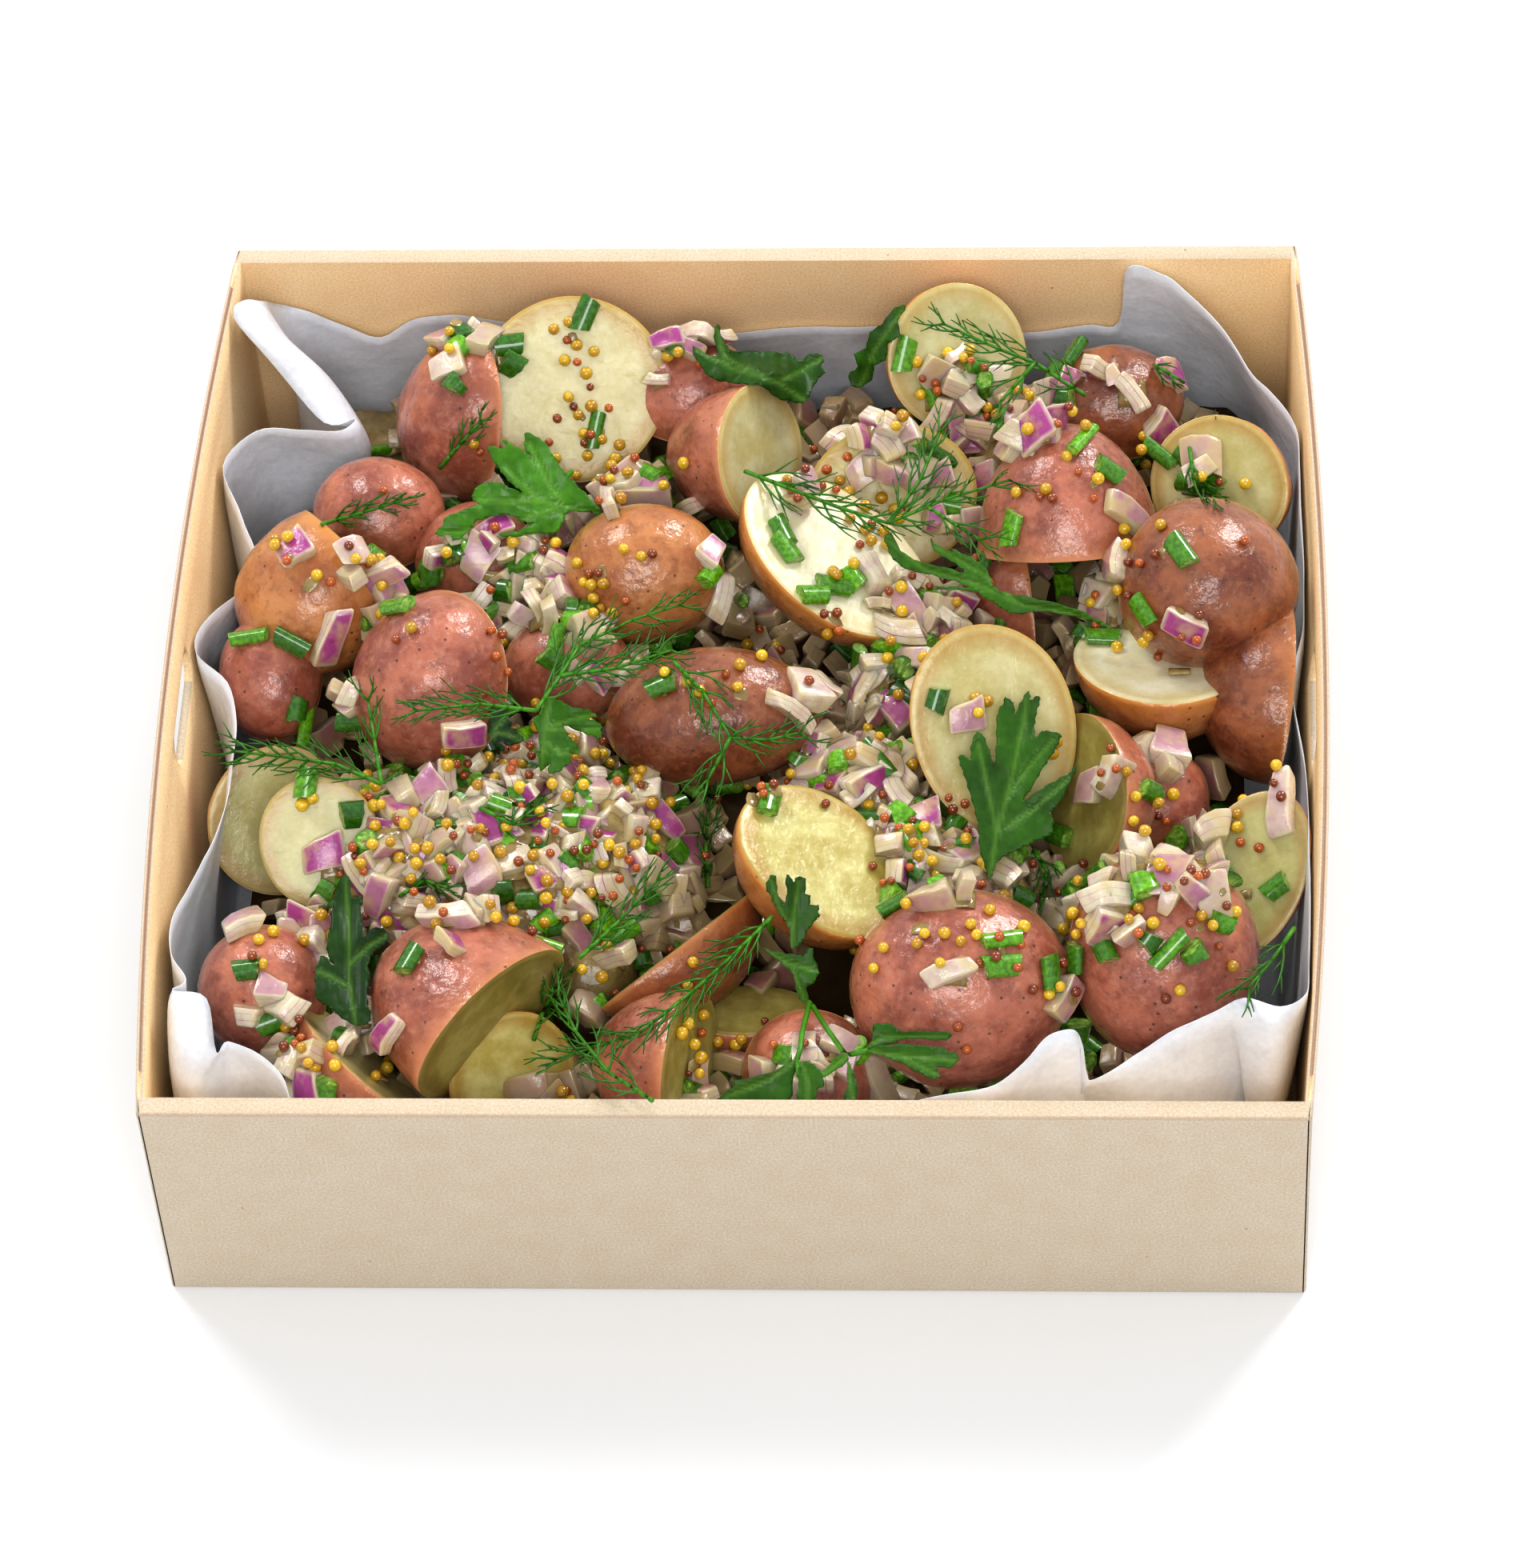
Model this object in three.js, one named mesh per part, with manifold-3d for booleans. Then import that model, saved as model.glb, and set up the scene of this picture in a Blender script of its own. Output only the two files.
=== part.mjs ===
// Potato salad in a square kraft catering tray with a crumpled paper liner.
// Millimetres, +X right, +Y back, +Z up. The origin is the centre of the tray's underside.

import * as THREE from 'three';
import { mergeVertices } from 'three/addons/utils/BufferGeometryUtils.js';
import Module from 'manifold-3d';

const wasm = await Module();
wasm.setup();

// Driving dimensions
const trayWidth = 225;
const trayDepth = 225;
const trayHeight = 60;
const floorThickness = 1.5;
const rolledWall = 4;
const sideWall = 1.6;
const sideBow = 5;
const sideStretches = 5;
const slotLength = 27;
const slotHeight = 8;
const slotCentre = [-4, 49];
const paperThickness = 0.6;
const touchGap = 0.35;
const paperLift = 0.7;
const footHalf = [107, 105];
const footCorner = 22;
const linerRows = 3;
const linerPush = 2.5;
const linerPushAt = 0.45;
const bedTop = 24;
const bedHalf = [101, 99];
const seedRadius = 1.2;
const seedSink = 0.6;
const onionWidth = 6.5;
const onionHeight = 3.4;
const onionSink = 0.9;
const chiveRadius = 2.1;
const chiveSink = 1.1;
const toppingClearance = 1.14;
const leafThickness = 0.5;
const leafClear = 0.5;
const dillThickness = 0.8;
const halfDillStem = 0.5;
const halfParsleyStem = 0.6;
const parsleyStemThickness = 1;
const potatoSides = 10;
const potatoRings = 4;

// Colours
const kraft = '#cfa878';
const paper = '#e9e8ea';
const onionWhite = '#e4ddc9';
const skinRose = '#b4706a';
const skinOrange = '#b8763f';
const skinBrown = '#8d5344';
const parsleyGreen = '#2f7a1f';
const dillGreen = '#3c7d22';

// Potato pieces, front-most first: centre of the cut face, half width, half length and depth of the
// dome, then the way the cut face looks (azimuth, elevation), its spin, how far the cut lies past the
// middle, and the skin. A piece further down the list gives way to the ones above it.
const potatoes = [
  { at: [94, 25, 54], size: [18.5, 17.5, 17], face: [95, -50, 0], skin: skinBrown },
  { at: [-40, 81, 50], size: [20, 19.3, 14], face: [-80, 48, 0], skin: skinRose },
  { at: [51, -13, 54], size: [17, 20, 16], face: [-72, 48, 0], skin: skinOrange },
  { at: [17, 34, 52], size: [22, 17, 17], face: [-3, 63, 64], skin: skinOrange },
  { at: [45, -72, 46], size: [20.8, 20.5, 18], face: [95, -50, 0], skin: skinRose },
  { at: [85, -64, 46], size: [19.4, 20, 18], face: [95, -50, 0], skin: skinRose },
  { at: [-63, 3, 50], size: [17, 18.5, 17], face: [60, -40, 0], skin: skinRose },
  { at: [-47, -79, 44], size: [20, 16, 25], face: [-42, -5, 0], skin: skinRose },
  { at: [17, -43, 50], size: [19.5, 16.5, 17], face: [0, 62, 64], skin: skinOrange },
  { at: [0, 65, 48], size: [14.5, 15, 23], face: [-23, 25, 0], skin: skinRose },
  { at: [41, 89, 50], size: [15, 16, 15], face: [-62, 42, 0], skin: skinOrange },
  { at: [65, 44, 43], size: [19.5, 18, 26], face: [-85, -50, 0], skin: skinRose },
  { at: [84, 13, 44], size: [18, 17, 18], face: [90, 72, 0], skin: skinOrange },
  { at: [-89, 28, 48], size: [15.5, 17, 19], face: [44, 22, 0], cut: 10, skin: skinOrange },
  { at: [-22, 33, 47], size: [16.8, 14.5, 14], face: [95, -50, 0], skin: skinOrange },
  { at: [-6, -4, 47], size: [22.5, 14, 14], face: [95, -50, 0], skin: skinBrown },
  { at: [96, 57, 46], size: [15.5, 15, 14], face: [-120, 45, 0], skin: skinOrange },
  { at: [-84, -36, 46], size: [12.5, 13, 9], face: [-80, 50, 0], skin: skinRose },
  { at: [-73, -84, 38], size: [17, 15, 17], face: [39, 33, 0], skin: skinRose },
  { at: [-8, -88, 40], size: [15, 16, 20], face: [-15, 10, 0], skin: skinRose },
  { at: [-12, -55, 36], size: [20, 14, 14], face: [135, 30, 0], skin: skinBrown },
  { at: [-62, 81, 42], size: [17, 18, 15], face: [20, -20, 0], skin: skinRose },
  { at: [73, 85, 40], size: [15, 13, 12], face: [90, -70, 0], skin: skinBrown },
  { at: [68, -22, 44], size: [17, 15, 15], face: [-160, 30, 0], skin: skinRose },
  { at: [101, -40, 42], size: [12, 18, 9], face: [-120, 55, 0], skin: skinRose },
  { at: [108, 8, 38], size: [20, 18, 16], face: [0, -10, 0], skin: skinBrown },
  { at: [-94, -69, 40], size: [13.5, 13, 13], face: [95, -50, 0], skin: skinRose },
  { at: [1, -68, 33], size: [14, 9, 12], face: [90, 70, 0], skin: skinRose },
  { at: [28, 56, 44], size: [17, 16, 14], face: [-80, 50, 0], skin: skinRose },
  { at: [-79, 53, 42], size: [14, 12, 12], face: [90, -70, 0], skin: skinRose },
  { at: [-58, 43, 40], size: [13, 12, 12], face: [90, -70, 0], skin: skinRose },
  { at: [-38, 13, 40], size: [13, 12, 11], face: [90, -70, 0], skin: skinRose },
  { at: [-99, 11, 40], size: [11, 13, 12], face: [90, -60, 0], skin: skinRose },
  { at: [-95, -21, 34], size: [15, 16, 13], face: [-70, 45, 0], skin: skinRose },
  { at: [-44, -84, 32], size: [13, 14, 10], face: [-60, 30, 0], skin: skinOrange },
  { at: [15, -85, 34], size: [14, 13, 12], face: [95, -50, 0], skin: skinRose },
  { at: [56, 38, 34], size: [12, 14, 14], face: [10, 0, 0], skin: skinRose },
  { at: [-16, 87, 42], size: [14, 13, 11], face: [90, -80, 0], skin: skinRose },
  { at: [83, -16, 34], size: [11, 11, 10], face: [90, -70, 0], skin: skinRose },
];

// Heaps of onion, chive and mustard seed between the potatoes: x, y, top, radius
const mounds = [
  [-44, -37, 48, 26], [-63, -27, 46, 20], [-28, -30, 46, 18], [-71, -43, 45, 14],
  [22, -17, 45, 14], [36, -32, 44, 13], [50, -42, 42, 11], [-57, 33, 43, 14],
  [-40, 33, 43, 12], [40, 27, 40, 13], [-30, -56, 38, 10], [-86, -57, 44, 9],
  [-72, 20, 46, 9], [-25, 58, 43, 11], [107, -28, 44, 8], [73, -42, 42, 11],
  [54, 74, 45, 12], [76, 25, 42, 9], [33, 12, 41, 13], [-40, -8, 42, 10],
];

// The paper's cut edge, anticlockwise from the middle of the right wall. Each column gives the angle of
// its foot on the floor and the top point. Where the paper folds over, a point on the way up is added.
const linerColumns = [
  [-2, [110.5, -2, 50]], [3, [110.5, 5, 50]], [9, [113, 16, 50]], [15, [113, 30, 50]],
  [22, [113, 46, 50]], [28, [113, 60, 50]], [31.5, [112, 68, 53]], [36, [107, 77, 53]],
  [40, [102, 84, 53]], [43.5, [98, 92, 54]], [46.5, [94, 98, 55]], [49.5, [89, 102, 57]],
  [52, [84, 105, 59]], [54, [77, 105.5, 60]], [55.5, [75, 106.5, 42]], [58, [68, 107, 41]],
  [62.5, [55, 107, 39]], [68, [40, 107, 40]], [74, [30, 107, 41]], [80, [18, 107, 41]],
  [86, [7, 107, 41]], [93, [-6, 107, 39]], [100, [-20, 107, 38]], [107, [-34, 107, 38]],
  [113, [-48, 107, 40]], [118, [-58, 107, 43]], [122, [-67, 107, 45]], [125.5, [-75, 107, 44]],
  [128.5, [-83, 106, 39]], [131, [-90, 106, 42]], [133, [-97, 106.5, 46]],
  [135, [-104, 106.5, 49], [-101, 102, 30]],
  [136.6, [-109, 98, 60], [-103, 100, 44]], [138, [-111.5, 93, 60], [-99, 96, 42]],
  [139.4, [-102, 86, 50], [-92, 91, 38]], [141, [-93, 79, 42], [-86, 84, 30]],
  [142.7, [-86, 76, 47], [-86, 77, 26]], [144.5, [-88, 70, 50], [-88, 71, 26]],
  [146.8, [-96, 70, 50], [-96, 71, 27]], [149.5, [-106, 70, 50], [-105, 70, 28]],
  [153, [-112, 60, 50]], [157, [-107, 46, 50]], [161, [-103, 36, 50]], [166, [-105, 27, 50]],
  [171, [-112, 18, 50]], [175, [-113, 10, 50]], [179, [-106, 2, 50]], [184, [-103, -8, 50]],
  [189, [-103, -18, 50]], [194, [-103, -27, 50]], [199.5, [-105, -38, 50]], [205, [-109, -51, 51]],
  [209, [-111, -61, 54]], [213, [-110, -71, 56]], [216.5, [-106, -79, 58]],
  [219.5, [-108, -83, 60], [-110, -86, 42]],
  [222.5, [-101, -85, 60], [-108, -97, 48]],
  [225.5, [-99, -94, 55], [-103, -101, 44]],
  [228, [-97, -91, 54], [-97, -98, 36]], [231, [-91, -94, 54], [-91, -98, 34]],
  [234, [-86, -99, 54], [-86, -101, 34]], [237, [-83, -105, 52]], [241, [-76, -107, 48]],
  [247, [-55, -107, 46]], [255, [-35, -107, 45]], [263, [-15, -107, 45]], [271, [5, -107, 47]],
  [279, [20, -107, 51]], [284, [32, -105.5, 54]], [289, [43, -103.5, 55]],
  [294, [52, -102, 56]], [298, [58, -98, 58]], [301.5, [62.5, -93.5, 60]],
  [304.5, [66.5, -92.5, 60]], [307, [68.5, -95, 54]], [309.5, [72, -95.5, 51]],
  [313, [79, -92, 53]], [317, [87, -88.5, 56]], [320.5, [94, -86, 58]],
  [323.5, [100, -84, 60], [101, -92, 34]], [326.5, [107, -86, 60], [107, -92, 34]],
  [329.5, [112, -83, 60]], [333, [113, -72, 55]], [338, [114, -58, 53]], [344, [114, -42, 51]],
  [350, [113, -25, 50]], [355, [111.5, -11, 49]],
];

// Parsley leaves: base and tip in millimetres, width, lift of the middle, and the outline used
const parsleyLeaves = [
  { base: [-2, 88, 46], tip: [9, 99, 54], width: 28, bow: 1, kind: 'fan' },
  { base: [-33, 55, 48], tip: [-62, 58, 52], width: 27, bow: 3, kind: 'lobed' },
  { base: [21, 87, 46], tip: [29, 104, 55], width: 8, bow: 1, kind: 'narrow' },
  { base: [76, 22, 49], tip: [27, 45, 58], width: 9, bow: -2, kind: 'narrow' },
  { base: [-44, 1, 56], tip: [-38, -14, 50], width: 21, bow: 1, kind: 'fan' },
  { base: [50, -43, 47], tip: [57, -6, 61], width: 23, bow: 1, kind: 'lobed' },
  { base: [-75, -77, 50], tip: [-79, -44, 56], width: 10, bow: 1, kind: 'narrow' },
  { base: [15, -66, 42], tip: [13, -50, 55], width: 10, bow: 1, kind: 'narrow' },
];
const parsleySprig = {
  stem: [[15, -72, 44], [24, -84, 49], [30, -86, 52]],
  leaves: [
    { base: [28, -85.5, 52], tip: [46, -90, 56], width: 12, bow: 1, kind: 'lobed' },
    { base: [16, -74, 45], tip: [0, -95, 47], width: 12, bow: 0, kind: 'lobed' },
  ],
};

// Dill sprigs: the stem's points, how many pairs of threads, and their length
const dillSprigs = [
  { stem: [[69, 80, 57], [56, 91, 60], [38, 95, 63]], pairs: 4, reach: 9 },
  { stem: [[-3, 60, 58], [8, 50, 61], [27, 47, 60], [53, 57, 62]], pairs: 5, reach: 11 },
  { stem: [[-66, -12, 61], [-44, 2, 60], [-32, 12, 57], [-16, 18, 59]], pairs: 5, reach: 10 },
  { stem: [[-74, -18, 54], [-84, -9, 57], [-104, -7, 54]], pairs: 4, reach: 9 },
  { stem: [[-14, 1, 62], [-2, -16, 58], [11, -12, 57]], pairs: 4, reach: 6 },
  { stem: [[7, -56, 55], [-6, -66, 50], [-28, -84, 52]], pairs: 5, reach: 9 },
  { stem: [[-31, -62, 50], [-15, -44, 53]], pairs: 3, reach: 8 },
  { stem: [[-14, -89, 58], [-24, -84, 54], [-28, -74, 50]], pairs: 3, reach: 8 },
  { stem: [[110, -56, 56], [101, -73, 58]], pairs: 3, reach: 7 },
];

// Pieces that show on the potatoes and heaps: x, y, length, turn in degrees
const onionPieces = [
  [-85, 12, 13, 80], [-57, -13, 9, 10], [-84, -38, 8, 20], [-66, -86, 10, 30], [83, 76, 7, 60],
  [-92, 25, 7, 40], [-58, 86, 9, 70], [-19, 90, 10, 15], [-38, 48, 9, 50], [-7, 28, 11, 75],
  [-81, 25, 6, 20], [-40, -27, 8, 60], [-45, -43, 9, 15], [77, 39, 13, -15], [89, 9, 9, -30],
  [108, -30, 13, 85], [87, -57, 12, -40], [43, -80, 10, 20], [14, -17, 10, 10], [-86, -58, 12, -10],
  [-97, -62, 8, 35], [45, -12, 7, 20], [48, 86, 9, -35], [36, -30, 8, 15], [22, -18, 9, -20],
  [85, 85, 6, 10], [27, -26, 9, 80], [-63, -26, 8, 60], [26, 64, 8, 5], [22, 60, 8, 40],
  [33, 60, 8, 75], [64, -78, 9, 70], [-52, -32, 9, 30], [-34, -32, 8, -20], [-57, -38, 8, 75],
  [-28, -25, 9, 10], [-68, -36, 8, 50], [-48, -22, 7, 20], [-25, 57, 8, 30], [37, 27, 8, 15],
  [-57, 35, 8, 65], [76, 26, 8, 80], [52, -40, 8, 30], [74, -42, 8, 20], [33, 14, 8, 50],
];
const chivePieces = [
  [-53, 87, 6, 10], [-37, 93, 7, 70], [-35, 75, 8, 80], [-102, 12, 8, 0], [-93, 11, 7, -35],
  [-70, 9, 7, -30], [6, 35, 6, -60], [7, 31, 7, -50], [13, 21, 6, 20], [17, 25, 7, 10],
  [30, 87, 7, 85], [36, 82, 11, -60], [73, 46, 6, -15], [54, 36, 7, 60], [88, 20, 7, -60],
  [81, 13, 6, -70], [72, 19, 7, 0], [90, 62, 8, -55], [84, 65, 8, -45], [94, 58, 6, -30],
  [9, 14, 9, -5], [17, 7, 12, -45], [6, -34, 6, 80], [64, -26, 7, -35], [107, -44, 5, 30],
  [95, -29, 22, -50], [76, -66, 9, 30], [81, -63, 8, 20], [95, -67, 5, 0], [90, -58, 7, -30],
  [53, -73, 8, 20], [53, -78, 7, 10], [62, -76, 7, -70], [32, -62, 6, 10], [-62, -74, 6, 60],
  [-90, -80, 7, 25], [-78, -96, 5, 70], [-95, -73, 5, 5], [-87, -27, 6, 85], [-16, -7, 6, 15],
  [68, -70, 6, 60], [-50, -30, 7, 20], [-38, -40, 7, 70], [-60, -32, 7, 10], [-30, -22, 7, -30],
  [26, -22, 7, 40], [-42, 28, 7, 30],
];
const potatoSeeds = 26;
const heapSeeds = 18;

// Random numbers that come out the same on every run
function seededRandom(seed) {
  let state = seed;
  return () => {
    state = (state * 1664525 + 1013904223) % 4294967296;
    return state / 4294967296;
  };
}

// A closed geometry with merged corners becomes a solid, and back
function toSolid(geometry) {
  const bare = geometry.clone();
  bare.deleteAttribute('normal');
  bare.deleteAttribute('uv');
  const merged = mergeVertices(bare, 1e-3);
  const mesh = new wasm.Mesh({
    numProp: 3,
    vertProperties: new Float32Array(merged.attributes.position.array),
    triVerts: new Uint32Array(merged.index.array),
  });
  return new wasm.Manifold(mesh);
}

function toGeometry(solid) {
  const mesh = solid.getMesh();
  const geometry = new THREE.BufferGeometry();
  geometry.setAttribute('position', new THREE.BufferAttribute(new Float32Array(mesh.vertProperties), 3));
  geometry.setIndex(new THREE.BufferAttribute(new Uint32Array(mesh.triVerts), 1));
  geometry.computeVertexNormals();
  return geometry;
}

function largestPiece(solid) {
  const pieces = solid.decompose();
  pieces.sort((first, second) => second.volume() - first.volume());
  return pieces[0];
}

function boxesMeet(first, second) {
  const a = first.boundingBox();
  const b = second.boundingBox();
  return [0, 1, 2].every((axis) => a.min[axis] < b.max[axis] && b.min[axis] < a.max[axis]);
}

function touches(solid, others) {
  return others.some((other) => boxesMeet(solid, other) && solid.intersect(other).volume() > 1e-4);
}

// Kraft tray: rolled front and back walls, thin sides that bow out a little in flat stretches, and two
// hand slots, each inside the middle stretch
function wallBow(y, z) {
  const stretch = trayDepth / sideStretches;
  const near = Math.max(0, (Math.floor(Math.abs(y) / stretch + 0.5) - 0.5) * stretch);
  const share = THREE.MathUtils.clamp((Math.abs(y) - near) / stretch, 0, 1);
  const bowAt = (distance) => 1 - Math.min(1, distance / (trayDepth / 2)) ** 2;
  const bow = near === 0 ? bowAt(stretch / 2) : bowAt(near) + (bowAt(near + stretch) - bowAt(near)) * share;
  return sideBow * (Math.max(0, z) / trayHeight) ** 1.5 * bow;
}

function bowedBox(width, depth, bottom, top) {
  const geometry = new THREE.BoxGeometry(width, depth, top - bottom, 1, sideStretches, 2);
  geometry.translate(0, 0, (top + bottom) / 2);
  const position = geometry.attributes.position;
  for (let index = 0; index < position.count; index += 1) {
    const x = position.getX(index);
    position.setX(index, x + Math.sign(x) * wallBow(position.getY(index), position.getZ(index)));
  }
  return toSolid(geometry);
}

function traySolid() {
  const outside = bowedBox(trayWidth, trayDepth, 0, trayHeight);
  const inside = bowedBox(
    trayWidth - 2 * sideWall, trayDepth - 2 * rolledWall, floorThickness, trayHeight + 2,
  );
  const end = slotHeight / 2;
  const half = slotLength / 2 - end;
  const outline = new THREE.Shape();
  outline.absarc(half, 0, end, -Math.PI / 2, Math.PI / 2, false);
  outline.absarc(-half, 0, end, Math.PI / 2, 3 * Math.PI / 2, false);
  const slots = new THREE.ExtrudeGeometry(outline, {
    depth: trayWidth + 30, bevelEnabled: false, curveSegments: 4,
  });
  slots.translate(0, 0, -(trayWidth + 30) / 2);
  slots.rotateX(Math.PI / 2);
  slots.rotateZ(Math.PI / 2);
  slots.translate(0, slotCentre[0], slotCentre[1]);
  return outside.subtract(inside).subtract(toSolid(slots));
}

// Paper liner: rises from a flat floor to the cut edge, with the same thickness all over
function footPoint(degrees) {
  const angle = THREE.MathUtils.degToRad(degrees);
  const direction = new THREE.Vector2(Math.cos(angle), Math.sin(angle));
  const core = new THREE.Vector2(footHalf[0] - footCorner, footHalf[1] - footCorner);
  let near = 0;
  let far = 200;
  for (let step = 0; step < 30; step += 1) {
    const reach = (near + far) / 2;
    const dx = Math.max(0, Math.abs(direction.x * reach) - core.x);
    const dy = Math.max(0, Math.abs(direction.y * reach) - core.y);
    if (Math.hypot(dx, dy) < footCorner) near = reach;
    else far = reach;
  }
  return new THREE.Vector3(direction.x * near, direction.y * near, floorThickness + paperLift);
}

function keepInTray(point) {
  const sideLimit = trayWidth / 2 - sideWall + wallBow(point.y, point.z) - paperLift;
  const endLimit = trayDepth / 2 - rolledWall - paperLift;
  point.x = THREE.MathUtils.clamp(point.x, -sideLimit, sideLimit);
  point.y = THREE.MathUtils.clamp(point.y, -endLimit, endLimit);
  return point;
}

function linerColumn([degrees, top, middle]) {
  const foot = footPoint(degrees);
  const tip = new THREE.Vector3(...top);
  const between = middle
    ? new THREE.Vector3(...middle)
    : foot.clone().lerp(tip, linerPushAt).add(new THREE.Vector3(foot.x, foot.y, 0).setLength(linerPush));
  const curve = new THREE.QuadraticBezierCurve3(
    foot, between.multiplyScalar(2).addScaledVector(foot, -0.5).addScaledVector(tip, -0.5), tip,
  );
  return curve.getPoints(linerRows).map(keepInTray);
}

function linerSolid(thickness) {
  const columns = linerColumns.map(linerColumn);
  const count = columns.length;
  const points = [new THREE.Vector3(0, 0, floorThickness + paperLift)];
  for (let row = 0; row <= linerRows; row += 1) {
    columns.forEach((column) => points.push(column[row]));
  }
  const at = (row, column) => 1 + row * count + (column + count) % count;
  const faces = [];
  for (let column = 0; column < count; column += 1) {
    faces.push([0, at(0, column), at(0, column + 1)]);
    for (let row = 0; row < linerRows; row += 1) {
      faces.push([at(row, column), at(row + 1, column), at(row + 1, column + 1)]);
      faces.push([at(row, column), at(row + 1, column + 1), at(row, column + 1)]);
    }
  }
  const sheet = new THREE.BufferGeometry().setFromPoints(points);
  sheet.setIndex(faces.flat());
  sheet.computeVertexNormals();
  const normals = sheet.attributes.normal;
  const side = (sign) => points.map((point, index) => {
    const normal = new THREE.Vector3().fromBufferAttribute(normals, index);
    return point.clone().addScaledVector(normal, sign * thickness / 2);
  });
  const total = points.length;
  const solidFaces = [];
  faces.forEach(([a, b, c]) => {
    solidFaces.push(a, b, c);
    solidFaces.push(a + total, c + total, b + total);
  });
  for (let column = 0; column < count; column += 1) {
    const here = at(linerRows, column);
    const next = at(linerRows, column + 1);
    solidFaces.push(here, here + total, next + total);
    solidFaces.push(here, next + total, next);
  }
  const geometry = new THREE.BufferGeometry().setFromPoints([...side(1), ...side(-1)]);
  geometry.setIndex(solidFaces);
  return toSolid(geometry);
}

// Halved baby potato: a slightly lumpy half ellipsoid with a flat cut face
function potatoAxes(potato) {
  const [azimuth, elevation, spin] = potato.face.map(THREE.MathUtils.degToRad);
  const normal = new THREE.Vector3(
    Math.cos(azimuth) * Math.cos(elevation), Math.sin(azimuth) * Math.cos(elevation), Math.sin(elevation),
  );
  const level = new THREE.Vector3(-Math.sin(azimuth), Math.cos(azimuth), 0);
  const rise = normal.clone().cross(level);
  const across = level.multiplyScalar(Math.cos(spin)).addScaledVector(rise, Math.sin(spin));
  return { across, normal, along: normal.clone().cross(across) };
}

function lump(x, y, z, number) {
  return 1 + 0.03 * Math.sin(2.2 * x + 1.3 * number) + 0.03 * Math.sin(2.6 * z + 2.1 * number)
    + 0.015 * Math.sin(3.1 * y + 0.7 * number);
}

function potatoSolid(potato, number, grow) {
  const [halfWidth, halfLength, depth] = potato.size;
  const top = Math.asin((potato.cut ?? 0) / depth);
  const profile = [new THREE.Vector2(0, -1)];
  for (let ring = 1; ring <= potatoRings; ring += 1) {
    const angle = -Math.PI / 2 + (top + Math.PI / 2) * ring / potatoRings;
    profile.push(new THREE.Vector2(Math.cos(angle), Math.sin(angle)));
  }
  profile.push(new THREE.Vector2(0, Math.sin(top)));
  const geometry = new THREE.LatheGeometry(profile, potatoSides);
  const { across, normal, along } = potatoAxes(potato);
  const cutAt = potato.cut ?? 0;
  const position = geometry.attributes.position;
  const point = new THREE.Vector3();
  for (let index = 0; index < position.count; index += 1) {
    const [x, y, z] = point.fromBufferAttribute(position, index).toArray();
    const factor = lump(x, y, z, number);
    const onFace = y > Math.sin(top) - 1e-6;
    const height = onFace ? cutAt + grow : cutAt + (y * (depth + grow) - cutAt) * factor;
    point.set(...potato.at)
      .addScaledVector(across, x * (halfWidth + grow) * factor)
      .addScaledVector(along, -z * (halfLength + grow) * factor)
      .addScaledVector(normal, height);
    position.setXYZ(index, ...point.toArray());
  }
  return toSolid(geometry);
}

// Height of the food's upper surface over a point, with the surface's slope
function potatoTop(potato, x, y) {
  const { across, normal, along } = potatoAxes(potato);
  const [halfWidth, halfLength, depth] = potato.size;
  const cutAt = potato.cut ?? 0;
  const scaled = (vector) => new THREE.Vector3(
    vector.dot(across) / halfWidth, vector.dot(along) / halfLength, vector.dot(normal) / depth,
  );
  const from = new THREE.Vector3(x, y, 0).sub(new THREE.Vector3(...potato.at));
  const start = scaled(from);
  const way = scaled(new THREE.Vector3(0, 0, 1));
  const a = way.dot(way);
  const b = 2 * start.dot(way);
  const c = start.dot(start) - 1;
  const inside = b * b - 4 * a * c;
  if (inside <= 0) return null;
  const high = (-b + Math.sqrt(inside)) / (2 * a);
  const low = (-b - Math.sqrt(inside)) / (2 * a);
  const past = (height) => (start.z + way.z * height) * depth - cutAt;
  if (past(high) <= 0) {
    const local = start.clone().addScaledVector(way, high);
    const slope = new THREE.Vector3()
      .addScaledVector(across, local.x / halfWidth)
      .addScaledVector(along, local.y / halfLength)
      .addScaledVector(normal, local.z / depth)
      .normalize();
    return { height: high, slope };
  }
  if (past(low) > 0) return null;
  return { height: (cutAt / depth - start.z) / way.z, slope: normal.clone() };
}

function moundTop(x, y) {
  let height = bedTop;
  mounds.forEach(([centreX, centreY, top, radius]) => {
    const share = 1 - ((x - centreX) ** 2 + (y - centreY) ** 2) / (radius * radius);
    if (share > 0) height = Math.max(height, bedTop + (top - bedTop) * Math.sqrt(share));
  });
  return height;
}

function foodTop(x, y) {
  let best = { height: moundTop(x, y), slope: new THREE.Vector3(0, 0, 1), host: -1 };
  potatoes.forEach((potato, host) => {
    const found = potatoTop(potato, x, y);
    if (found && found.height > best.height) best = { ...found, host };
  });
  return best;
}

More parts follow.
